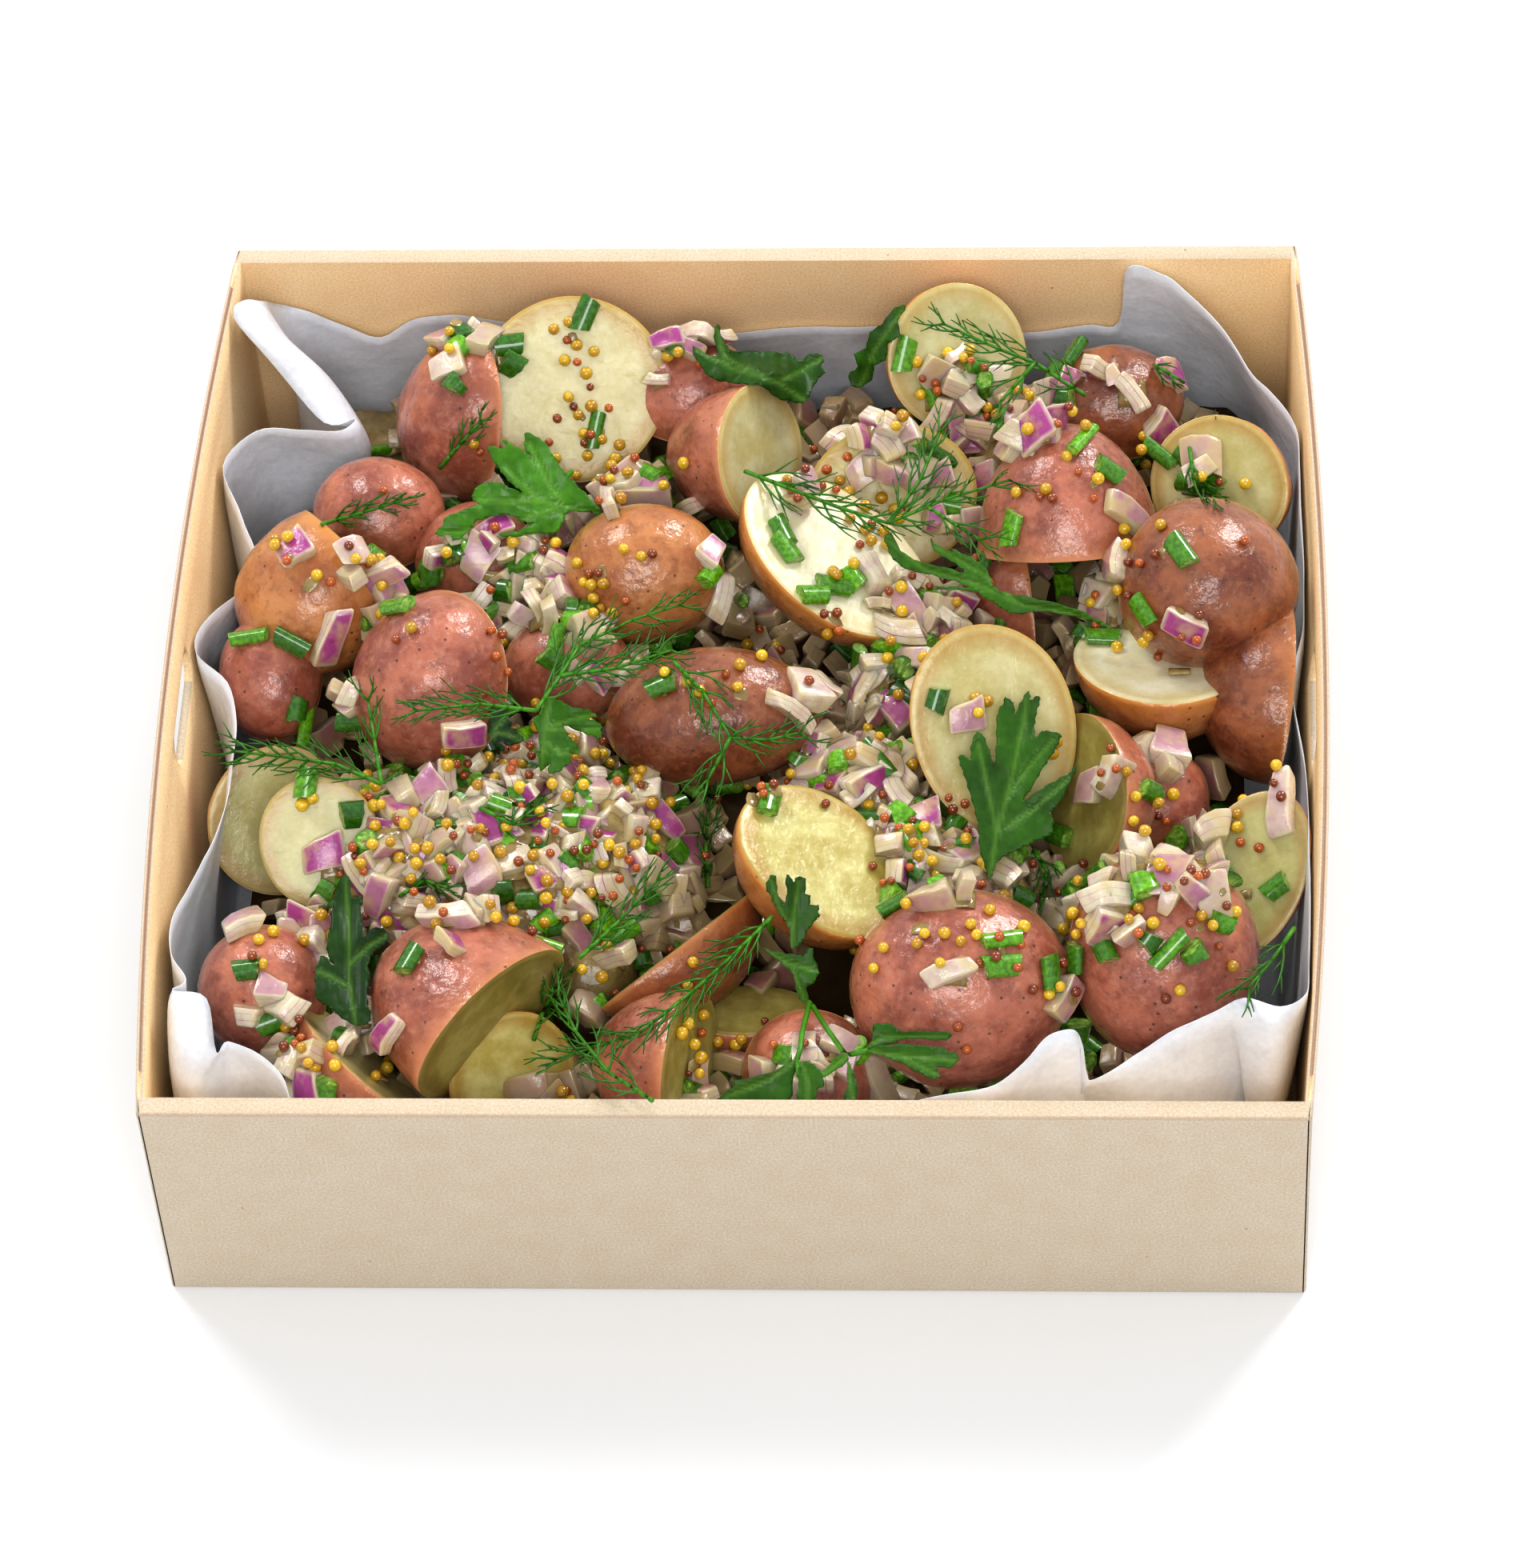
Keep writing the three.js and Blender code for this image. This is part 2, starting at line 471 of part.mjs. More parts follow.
// The dressed heap under and between the potatoes
function bedSolid(linerCutter, potatoCutters) {
  const outline = new THREE.Shape();
  const [halfX, halfY] = bedHalf;
  const round = footCorner;
  outline.absarc(halfX - round, halfY - round, round, 0, Math.PI / 2, false);
  outline.absarc(round - halfX, halfY - round, round, Math.PI / 2, Math.PI, false);
  outline.absarc(round - halfX, round - halfY, round, Math.PI, 3 * Math.PI / 2, false);
  outline.absarc(halfX - round, round - halfY, round, 3 * Math.PI / 2, 2 * Math.PI, false);
  const floor = floorThickness + paperLift + 2 * touchGap;
  const plate = new THREE.ExtrudeGeometry(outline, {
    depth: bedTop - floor, bevelEnabled: false, curveSegments: 3,
  });
  plate.translate(0, 0, floor);
  let solid = toSolid(plate);
  mounds.forEach(([x, y, top, radius], number) => {
    const profile = [new THREE.Vector2(0, floor + 2), new THREE.Vector2(radius, floor + 2)];
    [1, 0.66].forEach((share) => {
      profile.push(new THREE.Vector2(radius * share, bedTop + (top - bedTop) * Math.sqrt(1 - share * share)));
    });
    profile.push(new THREE.Vector2(0, top));
    const dome = new THREE.LatheGeometry(profile, 8, number);
    dome.rotateX(Math.PI / 2);
    dome.translate(x, y, 0);
    solid = solid.add(toSolid(dome));
  });
  solid = solid.subtract(linerCutter);
  potatoCutters.forEach((cutter) => {
    if (boxesMeet(solid, cutter)) solid = solid.subtract(cutter);
  });
  return largestPiece(solid);
}

// Leaves are flat outlines of one thickness, laid over the food so that they clear it
const outlines = {
  lobed: [
    [0, 0.03], [0.2, 0.04], [0.3, 0.26], [0.2, 0.42], [0.38, 0.5], [0.47, 0.36], [0.5, 0.12],
    [0.6, 0.16], [0.64, 0.36], [0.78, 0.34], [0.86, 0.2], [0.84, 0.1], [1, 0],
    [0.86, -0.12], [0.8, -0.3], [0.68, -0.28], [0.58, -0.12], [0.48, -0.14], [0.42, -0.38],
    [0.28, -0.5], [0.18, -0.36], [0.26, -0.2], [0.2, -0.04], [0, -0.03],
  ],
  fan: [
    [0, 0.03], [0.2, 0.06], [0.22, 0.34], [0.5, 0.5], [0.6, 0.32], [0.46, 0.12], [0.72, 0.16],
    [0.92, 0.1], [1, -0.06], [0.82, -0.14], [0.5, -0.1], [0.62, -0.36], [0.4, -0.5],
    [0.2, -0.36], [0.2, -0.05], [0, -0.03],
  ],
  narrow: [
    [0, 0.06], [0.14, 0.16], [0.34, 0.42], [0.44, 0.3], [0.6, 0.46], [0.76, 0.3], [0.9, 0.2],
    [1, 0], [0.88, -0.18], [0.7, -0.34], [0.62, -0.2], [0.46, -0.48], [0.3, -0.3], [0.12, -0.12],
    [0, -0.06],
  ],
};

function flatOutline(points, thickness) {
  const shape = new THREE.Shape(points.map(([x, y]) => new THREE.Vector2(x, y)));
  return new THREE.ExtrudeGeometry(shape, { depth: thickness, bevelEnabled: false });
}

function layOver(geometry, heightAt, clear) {
  const position = geometry.attributes.position;
  for (let index = 0; index < position.count; index += 1) {
    const x = position.getX(index);
    const y = position.getY(index);
    const rest = Math.max(heightAt(x, y), foodTop(x, y).height + clear);
    position.setZ(index, position.getZ(index) + rest);
  }
  return toSolid(geometry);
}

function leafSolid({ base, tip, width, bow, kind }) {
  const start = new THREE.Vector2(base[0], base[1]);
  const reach = new THREE.Vector2(tip[0], tip[1]).sub(start);
  const length = reach.length();
  const way = reach.clone().normalize();
  const side = new THREE.Vector2(-way.y, way.x);
  const points = outlines[kind].map(([along, across]) => [
    start.x + way.x * along * length + side.x * across * width,
    start.y + way.y * along * length + side.y * across * width,
  ]);
  const heightAt = (x, y) => {
    const along = ((x - start.x) * way.x + (y - start.y) * way.y) / length;
    const across = ((x - start.x) * side.x + (y - start.y) * side.y) / width;
    const wave = 0.8 * Math.sin(9 * along + 5 * across);
    return base[2] + (tip[2] - base[2]) * along + bow * 4 * along * (1 - along) + wave;
  };
  return layOver(flatOutline(points, leafThickness), heightAt, leafClear);
}

function stemHeight(stem) {
  return (x, y) => {
    let nearest = Infinity;
    let height = 0;
    for (let index = 0; index + 1 < stem.length; index += 1) {
      const start = new THREE.Vector2(stem[index][0], stem[index][1]);
      const run = new THREE.Vector2(stem[index + 1][0], stem[index + 1][1]).sub(start);
      const offset = new THREE.Vector2(x, y).sub(start);
      const share = THREE.MathUtils.clamp(offset.dot(run) / run.lengthSq(), 0, 1);
      const distance = offset.addScaledVector(run, -share).length();
      if (distance < nearest) {
        nearest = distance;
        height = stem[index][2] + (stem[index + 1][2] - stem[index][2]) * share;
      }
    }
    return height - 0.06 * nearest * nearest / 2;
  };
}

// A frond is a flat stem of joined stretches with pairs of pointed threads, bent to shape afterwards
function frondPieces({ stem, pairs, reach }, halfStem) {
  const stretches = stem.map(([x, y]) => new THREE.Vector3(x, y, 0));
  const route = new THREE.CurvePath();
  stretches.slice(1).forEach((end, index) => route.add(new THREE.LineCurve3(stretches[index], end)));
  const pieces = [];
  for (let index = 0; index + 1 < stretches.length; index += 1) {
    const way = stretches[index + 1].clone().sub(stretches[index]).setLength(halfStem);
    const side = new THREE.Vector3(-way.y, way.x, 0);
    const first = stretches[index].clone().sub(way);
    const last = stretches[index + 1].clone().add(way);
    pieces.push([
      first.clone().sub(side), last.clone().sub(side), last.clone().add(side), first.clone().add(side),
    ]);
  }
  for (let stop = 0; stop < pairs; stop += 1) {
    [1, -1].forEach((sign) => {
      const share = (stop + 0.6 + 0.15 * sign) / (pairs + 0.2);
      const centre = route.getPointAt(share);
      const way = route.getPointAt(share + 0.01).sub(centre).normalize();
      const out = new THREE.Vector3(-way.y * sign, way.x * sign, 0);
      const long = reach * (0.7 + 0.3 * Math.sin(2.4 * stop + sign));
      const tip = centre.clone().addScaledVector(out, long * 0.66).addScaledVector(way, long * 0.75);
      const foot = [-0.5, 0.5].map((shift) => centre.clone().addScaledVector(way, shift));
      pieces.push(sign > 0 ? [foot[0], foot[1], tip] : [foot[1], foot[0], tip]);
    });
  }
  return pieces.map((points) => points.map((point) => [point.x, point.y]));
}

function frondSolid(frond, halfStem, thickness) {
  let flat = null;
  frondPieces(frond, halfStem).forEach((points) => {
    const piece = toSolid(flatOutline(points, thickness));
    flat = flat ? flat.add(piece) : piece;
  });
  return layOver(toGeometry(flat), stemHeight(frond.stem), leafClear);
}

function dillSolid(sprig) {
  return frondSolid(sprig, halfDillStem, dillThickness);
}

function sprigSolid({ stem, leaves }) {
  let solid = frondSolid({ stem, pairs: 0, reach: 0 }, halfParsleyStem, parsleyStemThickness);
  leaves.forEach((leaf) => {
    solid = solid.add(leafSolid(leaf));
  });
  return largestPiece(solid);
}

// Lifts a piece until it clears everything below
function lifted(solid, others) {
  let height = 0;
  while (touches(solid.translate([0, 0, height]), others) && height < 25) height += 0.5;
  return solid.translate([0, 0, height + touchGap]);
}

// Toppings: onion pieces are blocks, chives are short six-sided rods, seeds are small balls
function onTop(geometry, x, y, turn, sink) {
  const { height, slope, host } = foodTop(x, y);
  const lean = new THREE.Quaternion().setFromUnitVectors(new THREE.Vector3(0, 0, 1), slope);
  geometry.rotateZ(THREE.MathUtils.degToRad(turn));
  geometry.applyQuaternion(lean);
  geometry.translate(x + slope.x * sink, y + slope.y * sink, height + slope.z * sink);
  return { geometry, host };
}

function onionTopping([x, y, length, turn]) {
  const block = new THREE.BoxGeometry(length, Math.min(onionWidth, length * 0.68), onionHeight);
  return onTop(block, x, y, turn, onionSink);
}

function chiveTopping([x, y, length, turn]) {
  const rod = new THREE.CylinderGeometry(chiveRadius, chiveRadius, length, 6);
  rod.rotateZ(Math.PI / 2);
  return onTop(rod, x, y, turn, chiveSink);
}

function seedToppings() {
  const random = seededRandom(20);
  const seeds = [];
  for (let number = 0; number < potatoSeeds; number += 1) {
    const potato = potatoes[Math.floor(random() * potatoes.length)];
    const angle = random() * 2 * Math.PI;
    const reach = 0.75 * Math.sqrt(random()) * Math.min(...potato.size);
    seeds.push([potato.at[0] + reach * Math.cos(angle), potato.at[1] + reach * Math.sin(angle)]);
  }
  for (let number = 0; number < heapSeeds; number += 1) {
    const [x, y, , radius] = mounds[number % mounds.length];
    const angle = random() * 2 * Math.PI;
    const reach = 0.8 * Math.sqrt(random()) * radius;
    seeds.push([x + reach * Math.cos(angle), y + reach * Math.sin(angle)]);
  }
  return seeds.map(([x, y]) => onTop(new THREE.IcosahedronGeometry(seedRadius, 0), x, y, 0, seedSink));
}

function fuseToppings(nodes, hosts) {
  const toppings = [
    ...onionPieces.map(onionTopping), ...chivePieces.map(chiveTopping), ...seedToppings(),
  ];
  toppings.forEach(({ geometry, host }) => {
    const piece = toSolid(geometry);
    const own = hosts[host + 1];
    const centre = new THREE.Vector3();
    geometry.computeBoundingBox();
    geometry.boundingBox.getCenter(centre);
    const wide = piece.translate(centre.clone().negate().toArray())
      .scale(toppingClearance)
      .translate(centre.toArray());
    const others = [...nodes.entries()].filter(([name]) => name !== own).map(([, solid]) => solid);
    if (touches(wide, others)) return;
    const joined = nodes.get(own).add(piece);
    if (joined.decompose().length === 1) nodes.set(own, joined);
  });
}

const nodes = new Map();
const colours = new Map();
function addNode(name, solid, colour, roughness = 0.5) {
  nodes.set(name, solid);
  colours.set(name, { colour, roughness });
}
const numbered = (word, index) => `${word}_${String(index + 1).padStart(2, '0')}`;

addNode('tray', traySolid(), kraft, 0.85);
addNode('liner', linerSolid(paperThickness), paper, 0.6);
const linerCutter = linerSolid(paperThickness + 2 * touchGap);
const potatoCutters = potatoes.map((potato, index) => potatoSolid(potato, index, touchGap));
addNode('relish', bedSolid(linerCutter, potatoCutters), onionWhite, 0.4);
potatoes.forEach((potato, index) => {
  let solid = potatoSolid(potato, index, 0);
  potatoCutters.slice(0, index).forEach((cutter) => {
    if (boxesMeet(solid, cutter)) solid = solid.subtract(cutter);
  });
  solid = largestPiece(solid.subtract(linerCutter));
  addNode(numbered('potato', index), solid, potato.skin, 0.35);
});
parsleyLeaves.forEach((leaf, index) => {
  addNode(numbered('parsley', index), lifted(leafSolid(leaf), [...nodes.values()]), parsleyGreen);
});
addNode(
  numbered('parsley', parsleyLeaves.length), lifted(sprigSolid(parsleySprig), [...nodes.values()]), parsleyGreen,
);
dillSprigs.forEach((sprig, index) => {
  addNode(numbered('dill', index), lifted(dillSolid(sprig), [...nodes.values()]), dillGreen);
});
fuseToppings(nodes, ['relish', ...potatoes.map((potato, index) => numbered('potato', index))]);

const group = new THREE.Group();
group.name = 'potato_salad';
nodes.forEach((solid, name) => {
  const { colour, roughness } = colours.get(name);
  const material = new THREE.MeshStandardMaterial({ color: colour, roughness, metalness: 0 });
  const mesh = new THREE.Mesh(toGeometry(solid), material);
  mesh.name = name;
  group.add(mesh);
});

export default group;
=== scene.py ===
# Potato salad in a square kraft catering tray with a paper liner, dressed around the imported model.
# Metres, +X right, +Y back, +Z up. The tables below are in millimetres and photo pixels.
import itertools
import math
import random

import bmesh
import bpy
import numpy as np
from mathutils import Matrix, Vector, noise
from mathutils.bvhtree import BVHTree


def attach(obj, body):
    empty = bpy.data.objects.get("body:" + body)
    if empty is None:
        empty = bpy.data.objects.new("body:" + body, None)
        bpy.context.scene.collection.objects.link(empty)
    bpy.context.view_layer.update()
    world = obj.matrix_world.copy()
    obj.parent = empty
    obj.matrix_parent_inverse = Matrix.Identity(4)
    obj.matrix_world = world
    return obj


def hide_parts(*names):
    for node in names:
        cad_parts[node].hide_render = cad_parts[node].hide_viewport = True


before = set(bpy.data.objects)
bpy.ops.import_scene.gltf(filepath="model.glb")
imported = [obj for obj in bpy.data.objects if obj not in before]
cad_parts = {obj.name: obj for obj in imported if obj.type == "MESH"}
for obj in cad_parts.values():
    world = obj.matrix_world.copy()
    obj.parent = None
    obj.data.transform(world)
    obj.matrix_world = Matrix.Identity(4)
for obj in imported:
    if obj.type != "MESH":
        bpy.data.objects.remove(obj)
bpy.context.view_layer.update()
scene = bpy.context.scene
mm = 0.001

# The camera, from the tray's six visible corners
camera = {"spot": (82.28, -826.31, 1077.85), "yaw": 5.617, "pitch": 51.898, "roll": -4.392,
          "lens": 149.71, "sensor": 36, "width": 1895, "height": 1960}


def cameraAxes():
    yaw, pitch, roll = (math.radians(camera[key]) for key in ("yaw", "pitch", "roll"))
    forward = Vector((-math.sin(yaw) * math.cos(pitch), math.cos(yaw) * math.cos(pitch), -math.sin(pitch)))
    level = Vector((math.cos(yaw), math.sin(yaw), 0))
    up = level.cross(forward)
    right = level * math.cos(roll) + up * math.sin(roll)
    return right, up * math.cos(roll) - level * math.sin(roll), forward


viewRight, viewUp, viewForward = cameraAxes()
cameraSpot = Vector(camera["spot"])


def pixelRay(u, v):
    reach = camera["lens"] / camera["sensor"] * camera["height"]
    ray = viewForward * reach + viewRight * (u - camera["width"] / 2) - viewUp * (v - camera["height"] / 2)
    return ray.normalized()


cameraData = bpy.data.cameras.new("photoCamera")
cameraData.lens = camera["lens"]
cameraData.sensor_width = camera["sensor"]
cameraData.clip_end = 20
cameraObject = bpy.data.objects.new("photoCamera", cameraData)
scene.collection.objects.link(cameraObject)
cameraTurn = Matrix((viewRight, viewUp, -viewForward)).transposed().to_4x4()
cameraObject.matrix_world = Matrix.Translation(cameraSpot * mm) @ cameraTurn
scene.camera = cameraObject
print("camera placed")


# Colours are written as sRGB hex values, and the renderer takes linear ones
def toLinear(code):
    channels = [int(code[place:place + 2], 16) / 255 for place in (1, 3, 5)]
    return [c / 12.92 if c <= 0.04045 else ((c + 0.055) / 1.055) ** 2.4 for c in channels] + [1]


# Adds one node with its settings, values, links and colour stops, and gives the output to link on
def addNode(tree, kind, inputs=None, out=0, stops=None, **settings):
    node = tree.nodes.new("ShaderNode" + kind)
    for key, value in settings.items():
        setattr(node, key, value)
    for key, value in (inputs or {}).items():
        if isinstance(value, bpy.types.NodeSocket):
            tree.links.new(value, node.inputs[key])
        else:
            node.inputs[key].default_value = toLinear(value) if isinstance(value, str) else value
    if stops:
        elements = node.color_ramp.elements
        elements[0].position, elements[1].position = stops[0][0], stops[-1][0]
        for place, _ in stops[1:-1]:
            elements.new(place)
        for element, (_, tone) in zip(elements, stops):
            element.color = toLinear(tone) if isinstance(tone, str) else (tone, tone, tone, 1)
    return node.outputs[out] if len(node.outputs) else node


def newMaterial(name, shader):
    material = bpy.data.materials.new(name)
    material.use_nodes = True
    tree = material.node_tree
    tree.nodes.clear()
    surface = addNode(tree, "BsdfPrincipled", shader)
    addNode(tree, "OutputMaterial", {0: surface})
    return material, tree, surface.node.inputs, addNode(tree, "TexCoord", out=3)


def linkAll(tree, sockets, outputs):
    for name, output in outputs.items():
        tree.links.new(output, sockets[name])


# The three shares that each corner of the leaves and small pieces carries
def readMarks(tree):
    marks = addNode(tree, "Attribute", attribute_name="mark")
    return addNode(tree, "SeparateColor", {0: marks}).node.outputs[:3]


# A grain laid over a tone, with spots of one size in millimetres: the pattern, and the tone with it
def grained(tree, place, tone, size, spot, detail=4, roughness=0.6, edges=(0.35, 0.65), share=0.8):
    grain = addNode(tree, "TexNoise", {0: place, 2: 1 / (size * mm), 3: detail, 4: roughness})
    light = addNode(tree, "ValToRGB", {0: grain}, stops=[(edges[0], spot), (edges[1], "#ffffff")])
    tone = addNode(tree, "Mix", {0: share, 6: tone, 7: light}, 2, data_type="RGBA", blend_type="MULTIPLY")
    return grain, tone


# Kraft paperboard, pressed from recycled pulp: matt, with fine lying fibres, faint clouds and a few specks.
# The inner faces carry a lighter tone, painted light, and the seams and folds a darker one, painted shade
kraft = {"outside": "#cfc5b5", "inside": "#ffe4b8", "paintedCreaseShade": "#b5917a", "speck": "#8a6a48", "fibreSize": 0.5,
         "cloudSize": 6, "speckSpacing": 11, "roughness": 0.8}


def kraftBoard():
    material, tree, sockets, place = newMaterial("kraftPaperboard", {"Roughness": kraft["roughness"]})
    # The inner faces' lighter tone is painted light, standing in for the light that reaches into the tray
    inside, paintedCreaseShade = (addNode(tree, "Attribute", out=2, attribute_name=name) for name in ("inside", "paintedCreaseShade"))
    tone = addNode(tree, "Mix", {0: inside, 6: kraft["outside"], 7: kraft["inside"]}, 2, data_type="RGBA")
    fibres, tone = grained(tree, place, tone, kraft["fibreSize"], "#e2d6c6", edges=(0.32, 0.66))
    _, tone = grained(tree, place, tone, kraft["cloudSize"], "#fbf6ef", edges=(0.3, 0.7))
    specks = addNode(tree, "TexVoronoi", {0: place, 2: 1 / (kraft["speckSpacing"] * mm)})
    dots = addNode(tree, "ValToRGB", {0: specks}, stops=[(0.015, 0.7), (0.035, 0)])
    # The crease tone is painted shade, in the seams of the side walls and just below the rolled tops
    for share, layer in ((dots, kraft["speck"]), (paintedCreaseShade, kraft["paintedCreaseShade"])):
        tone = addNode(tree, "Mix", {0: share, 6: tone, 7: layer}, 2, data_type="RGBA")
    linkAll(tree, sockets, {
        "Base Color": tone,
        "Normal": addNode(tree, "Bump", {"Height": fibres, 0: 0.2, 1: 0.12 * mm})})
    return material


# Greaseproof paper, calendered smooth: grey-white and satin, with soft creases whose hollows are painted a
# little darker, a painted shade
paper = {"tone": "#e8ebf1", "shade": "#dcdfe6", "crumpleSize": 11, "fibreSize": 1.2, "roughness": 0.4}


def greaseproofPaper():
    material, tree, sockets, place = newMaterial("greaseproofPaper", {
        "Roughness": paper["roughness"], "IOR": 1.5})
    crumple = addNode(tree, "TexNoise", {0: place, 2: 1 / (paper["crumpleSize"] * mm), 3: 4, 4: 0.55})
    # The crumple's low parts take the darker tone: painted shade in the creases' hollows
    tone = addNode(tree, "ValToRGB", {0: crumple}, stops=[(0.35, paper["shade"]), (0.65, paper["tone"])])
    fibres, tone = grained(tree, place, tone, paper["fibreSize"], "#f1f1f3", 3, 0.5, (0.3, 0.7), 0.7)
    creased = addNode(tree, "Bump", {"Height": crumple, 0: 0.5, 1: 1.6 * mm})
    linkAll(tree, sockets, {
        "Base Color": tone,
        "Normal": addNode(tree, "Bump", {"Height": fibres, 0: 0.1, 1: 0.1 * mm, "Normal": creased})})
    return material


# Boiled potato skin: thin, freckled and wet with dressing, so the light breaks up into small glints
skinTones = {
    "rose": {"light": "#be745a", "deep": "#8f4a39", "blotch": "#6a2f23", "bloom": "#d39d85",
             "rim": "#c07c50"},
    "orange": {"light": "#c68650", "deep": "#a25e2e", "blotch": "#743817", "bloom": "#d29a66",
               "rim": "#d08c3c"},
    "brown": {"light": "#9e5e3a", "deep": "#70331c", "blotch": "#4e1e0f", "bloom": "#bb825c",
              "rim": "#b2723a"},
}
skin = {"cloudSize": 11, "blotchSize": 3.2, "bloomSize": 1.9, "freckleSpacing": 3.2, "wrinkleSize": 2.6,
        "filmSize": 2.4, "speck": "#3f1c0e"}


def potatoSkin(kind):
    tones = skinTones[kind]
    material, tree, sockets, place = newMaterial(kind + "PotatoSkin", {
        "IOR": 1.42, "Coat Weight": 1.0, "Coat Roughness": 0.035, "Coat IOR": 1.46,
        "Subsurface Weight": 0.08, "Subsurface Scale": 0.004})
    rim = addNode(tree, "Attribute", out=2, attribute_name="rim")
    clouds, blotches, bloom, wrinkles, film = (
        addNode(tree, "TexNoise", {0: place, 2: 1 / (skin[size] * mm), 3: detail, 4: roughness})
        for size, detail, roughness in (("cloudSize", 4, 0.6), ("blotchSize", 5, 0.65), ("bloomSize", 4, 0.7),
                                        ("wrinkleSize", 3, 0.5), ("filmSize", 5, 0.6)))
    freckles = addNode(tree, "TexVoronoi", {0: place, 2: 1 / (skin["freckleSpacing"] * mm)})
    blotched = addNode(tree, "ValToRGB", {0: blotches}, stops=[(0.52, 0), (0.7, 0.6)])
    bloomed = addNode(tree, "ValToRGB", {0: bloom}, stops=[(0.5, 0), (0.7, 0.34)])
    dots = addNode(tree, "ValToRGB", {0: freckles}, stops=[(0.06, 0.85), (0.13, 0)])
    tone = addNode(tree, "ValToRGB", {0: clouds}, stops=[(0.38, tones["deep"]), (0.6, tones["light"])])
    for share, layer in ((blotched, tones["blotch"]), (bloomed, tones["bloom"]), (rim, tones["rim"]),
                         (dots, skin["speck"])):
        tone = addNode(tree, "Mix", {0: share, 6: tone, 7: layer}, 2, data_type="RGBA")
    wrinkled = addNode(tree, "Bump", {"Height": wrinkles, 0: 0.7, 1: 0.45 * mm})
    linkAll(tree, sockets, {
        "Base Color": tone,
        "Roughness": addNode(tree, "ValToRGB", {0: blotches}, stops=[(0.35, 0.34), (0.65, 0.5)]),
        "Normal": addNode(tree, "Bump", {"Height": blotches, 0: 0.35, 1: 0.25 * mm, "Normal": wrinkled}),
        "Coat Normal": addNode(tree, "Bump", {"Height": film, 0: 0.75, 1: 0.36 * mm, "Normal": wrinkled})})
    return material


# Boiled potato flesh, cut with a knife: waxy and moist, a clearer ring inside the skin, cloudy at the heart
fleshTones = {
    "cream": {"light": "#d4d0a5", "deep": "#c5bc84", "ring": "#c3a660"},
    "white": {"light": "#eae6cc", "deep": "#ded8b2", "ring": "#d2c088"},
    "yellow": {"light": "#cec681", "deep": "#b4a552", "ring": "#ac8636"},
    "butter": {"light": "#d2ca96", "deep": "#c2b676", "ring": "#b89044"},
    "pale": {"light": "#c6c288", "deep": "#b6ae6c", "ring": "#b48f58"},
    "tan": {"light": "#aca25c", "deep": "#92863f", "ring": "#847236"},
}
flesh = {"cloudSize": 7, "poreSize": 1.1, "wetSize": 2.6}


def potatoFlesh(kind):
    tones = fleshTones[kind]
    material, tree, sockets, place = newMaterial(kind + "PotatoFlesh", {
        "IOR": 1.4, "Roughness": 0.45, "Coat Weight": 0.6, "Coat Roughness": 0.09,
        "Subsurface Weight": 0.25, "Subsurface Scale": 0.005, "Subsurface Radius": (1, 0.8, 0.45)})
    edge = addNode(tree, "Attribute", out=2, attribute_name="fromHeart")
    clouds, wet = (addNode(tree, "TexNoise", {0: place, 2: 1 / (flesh[size] * mm), 3: detail, 4: 0.6})
                   for size, detail in (("cloudSize", 4), ("wetSize", 5)))
    tone = addNode(tree, "ValToRGB", {0: clouds}, stops=[(0.4, tones["deep"]), (0.62, tones["light"])])
    ring = addNode(tree, "ValToRGB", {0: edge}, stops=[(0.72, 0), (0.9, 0.75), (0.955, 0.3), (1, 1)])
    tone = addNode(tree, "Mix", {0: ring, 6: tone, 7: tones["ring"]}, 2, data_type="RGBA")
    pores, tone = grained(tree, place, tone, flesh["poreSize"], "#f3efe4", edges=(0.3, 0.6), share=0.6)
    cloudy = addNode(tree, "Bump", {"Height": clouds, 0: 0.3, 1: 0.8 * mm})
    linkAll(tree, sockets, {
        "Base Color": tone,
        "Normal": addNode(tree, "Bump", {"Height": pores, 0: 0.16, 1: 0.2 * mm, "Normal": cloudy}),
        "Coat Normal": addNode(tree, "Bump", {"Height": wet, 0: 0.7, 1: 0.32 * mm})})
    return material


# Red onion, diced raw: glassy white layers with a violet outer skin and violet veins; where the dice lie low
# they are painted darker and browner, a painted shade in the gaps
onion = {"white": "#dfd8bf", "shade": "#bfb590", "mauve": "#c58ea8", "violet": "#86206e", "pink": "#c0549f",
         "sauce": "#c9b47c", "paintedLowShade": "#8f7444", "lowShadeBelow": (30, 44), "lowShadeShare": 0.7, "layers": 3,
         "veinSize": 2.4, "smearSize": 5, "wetSize": 1.9}


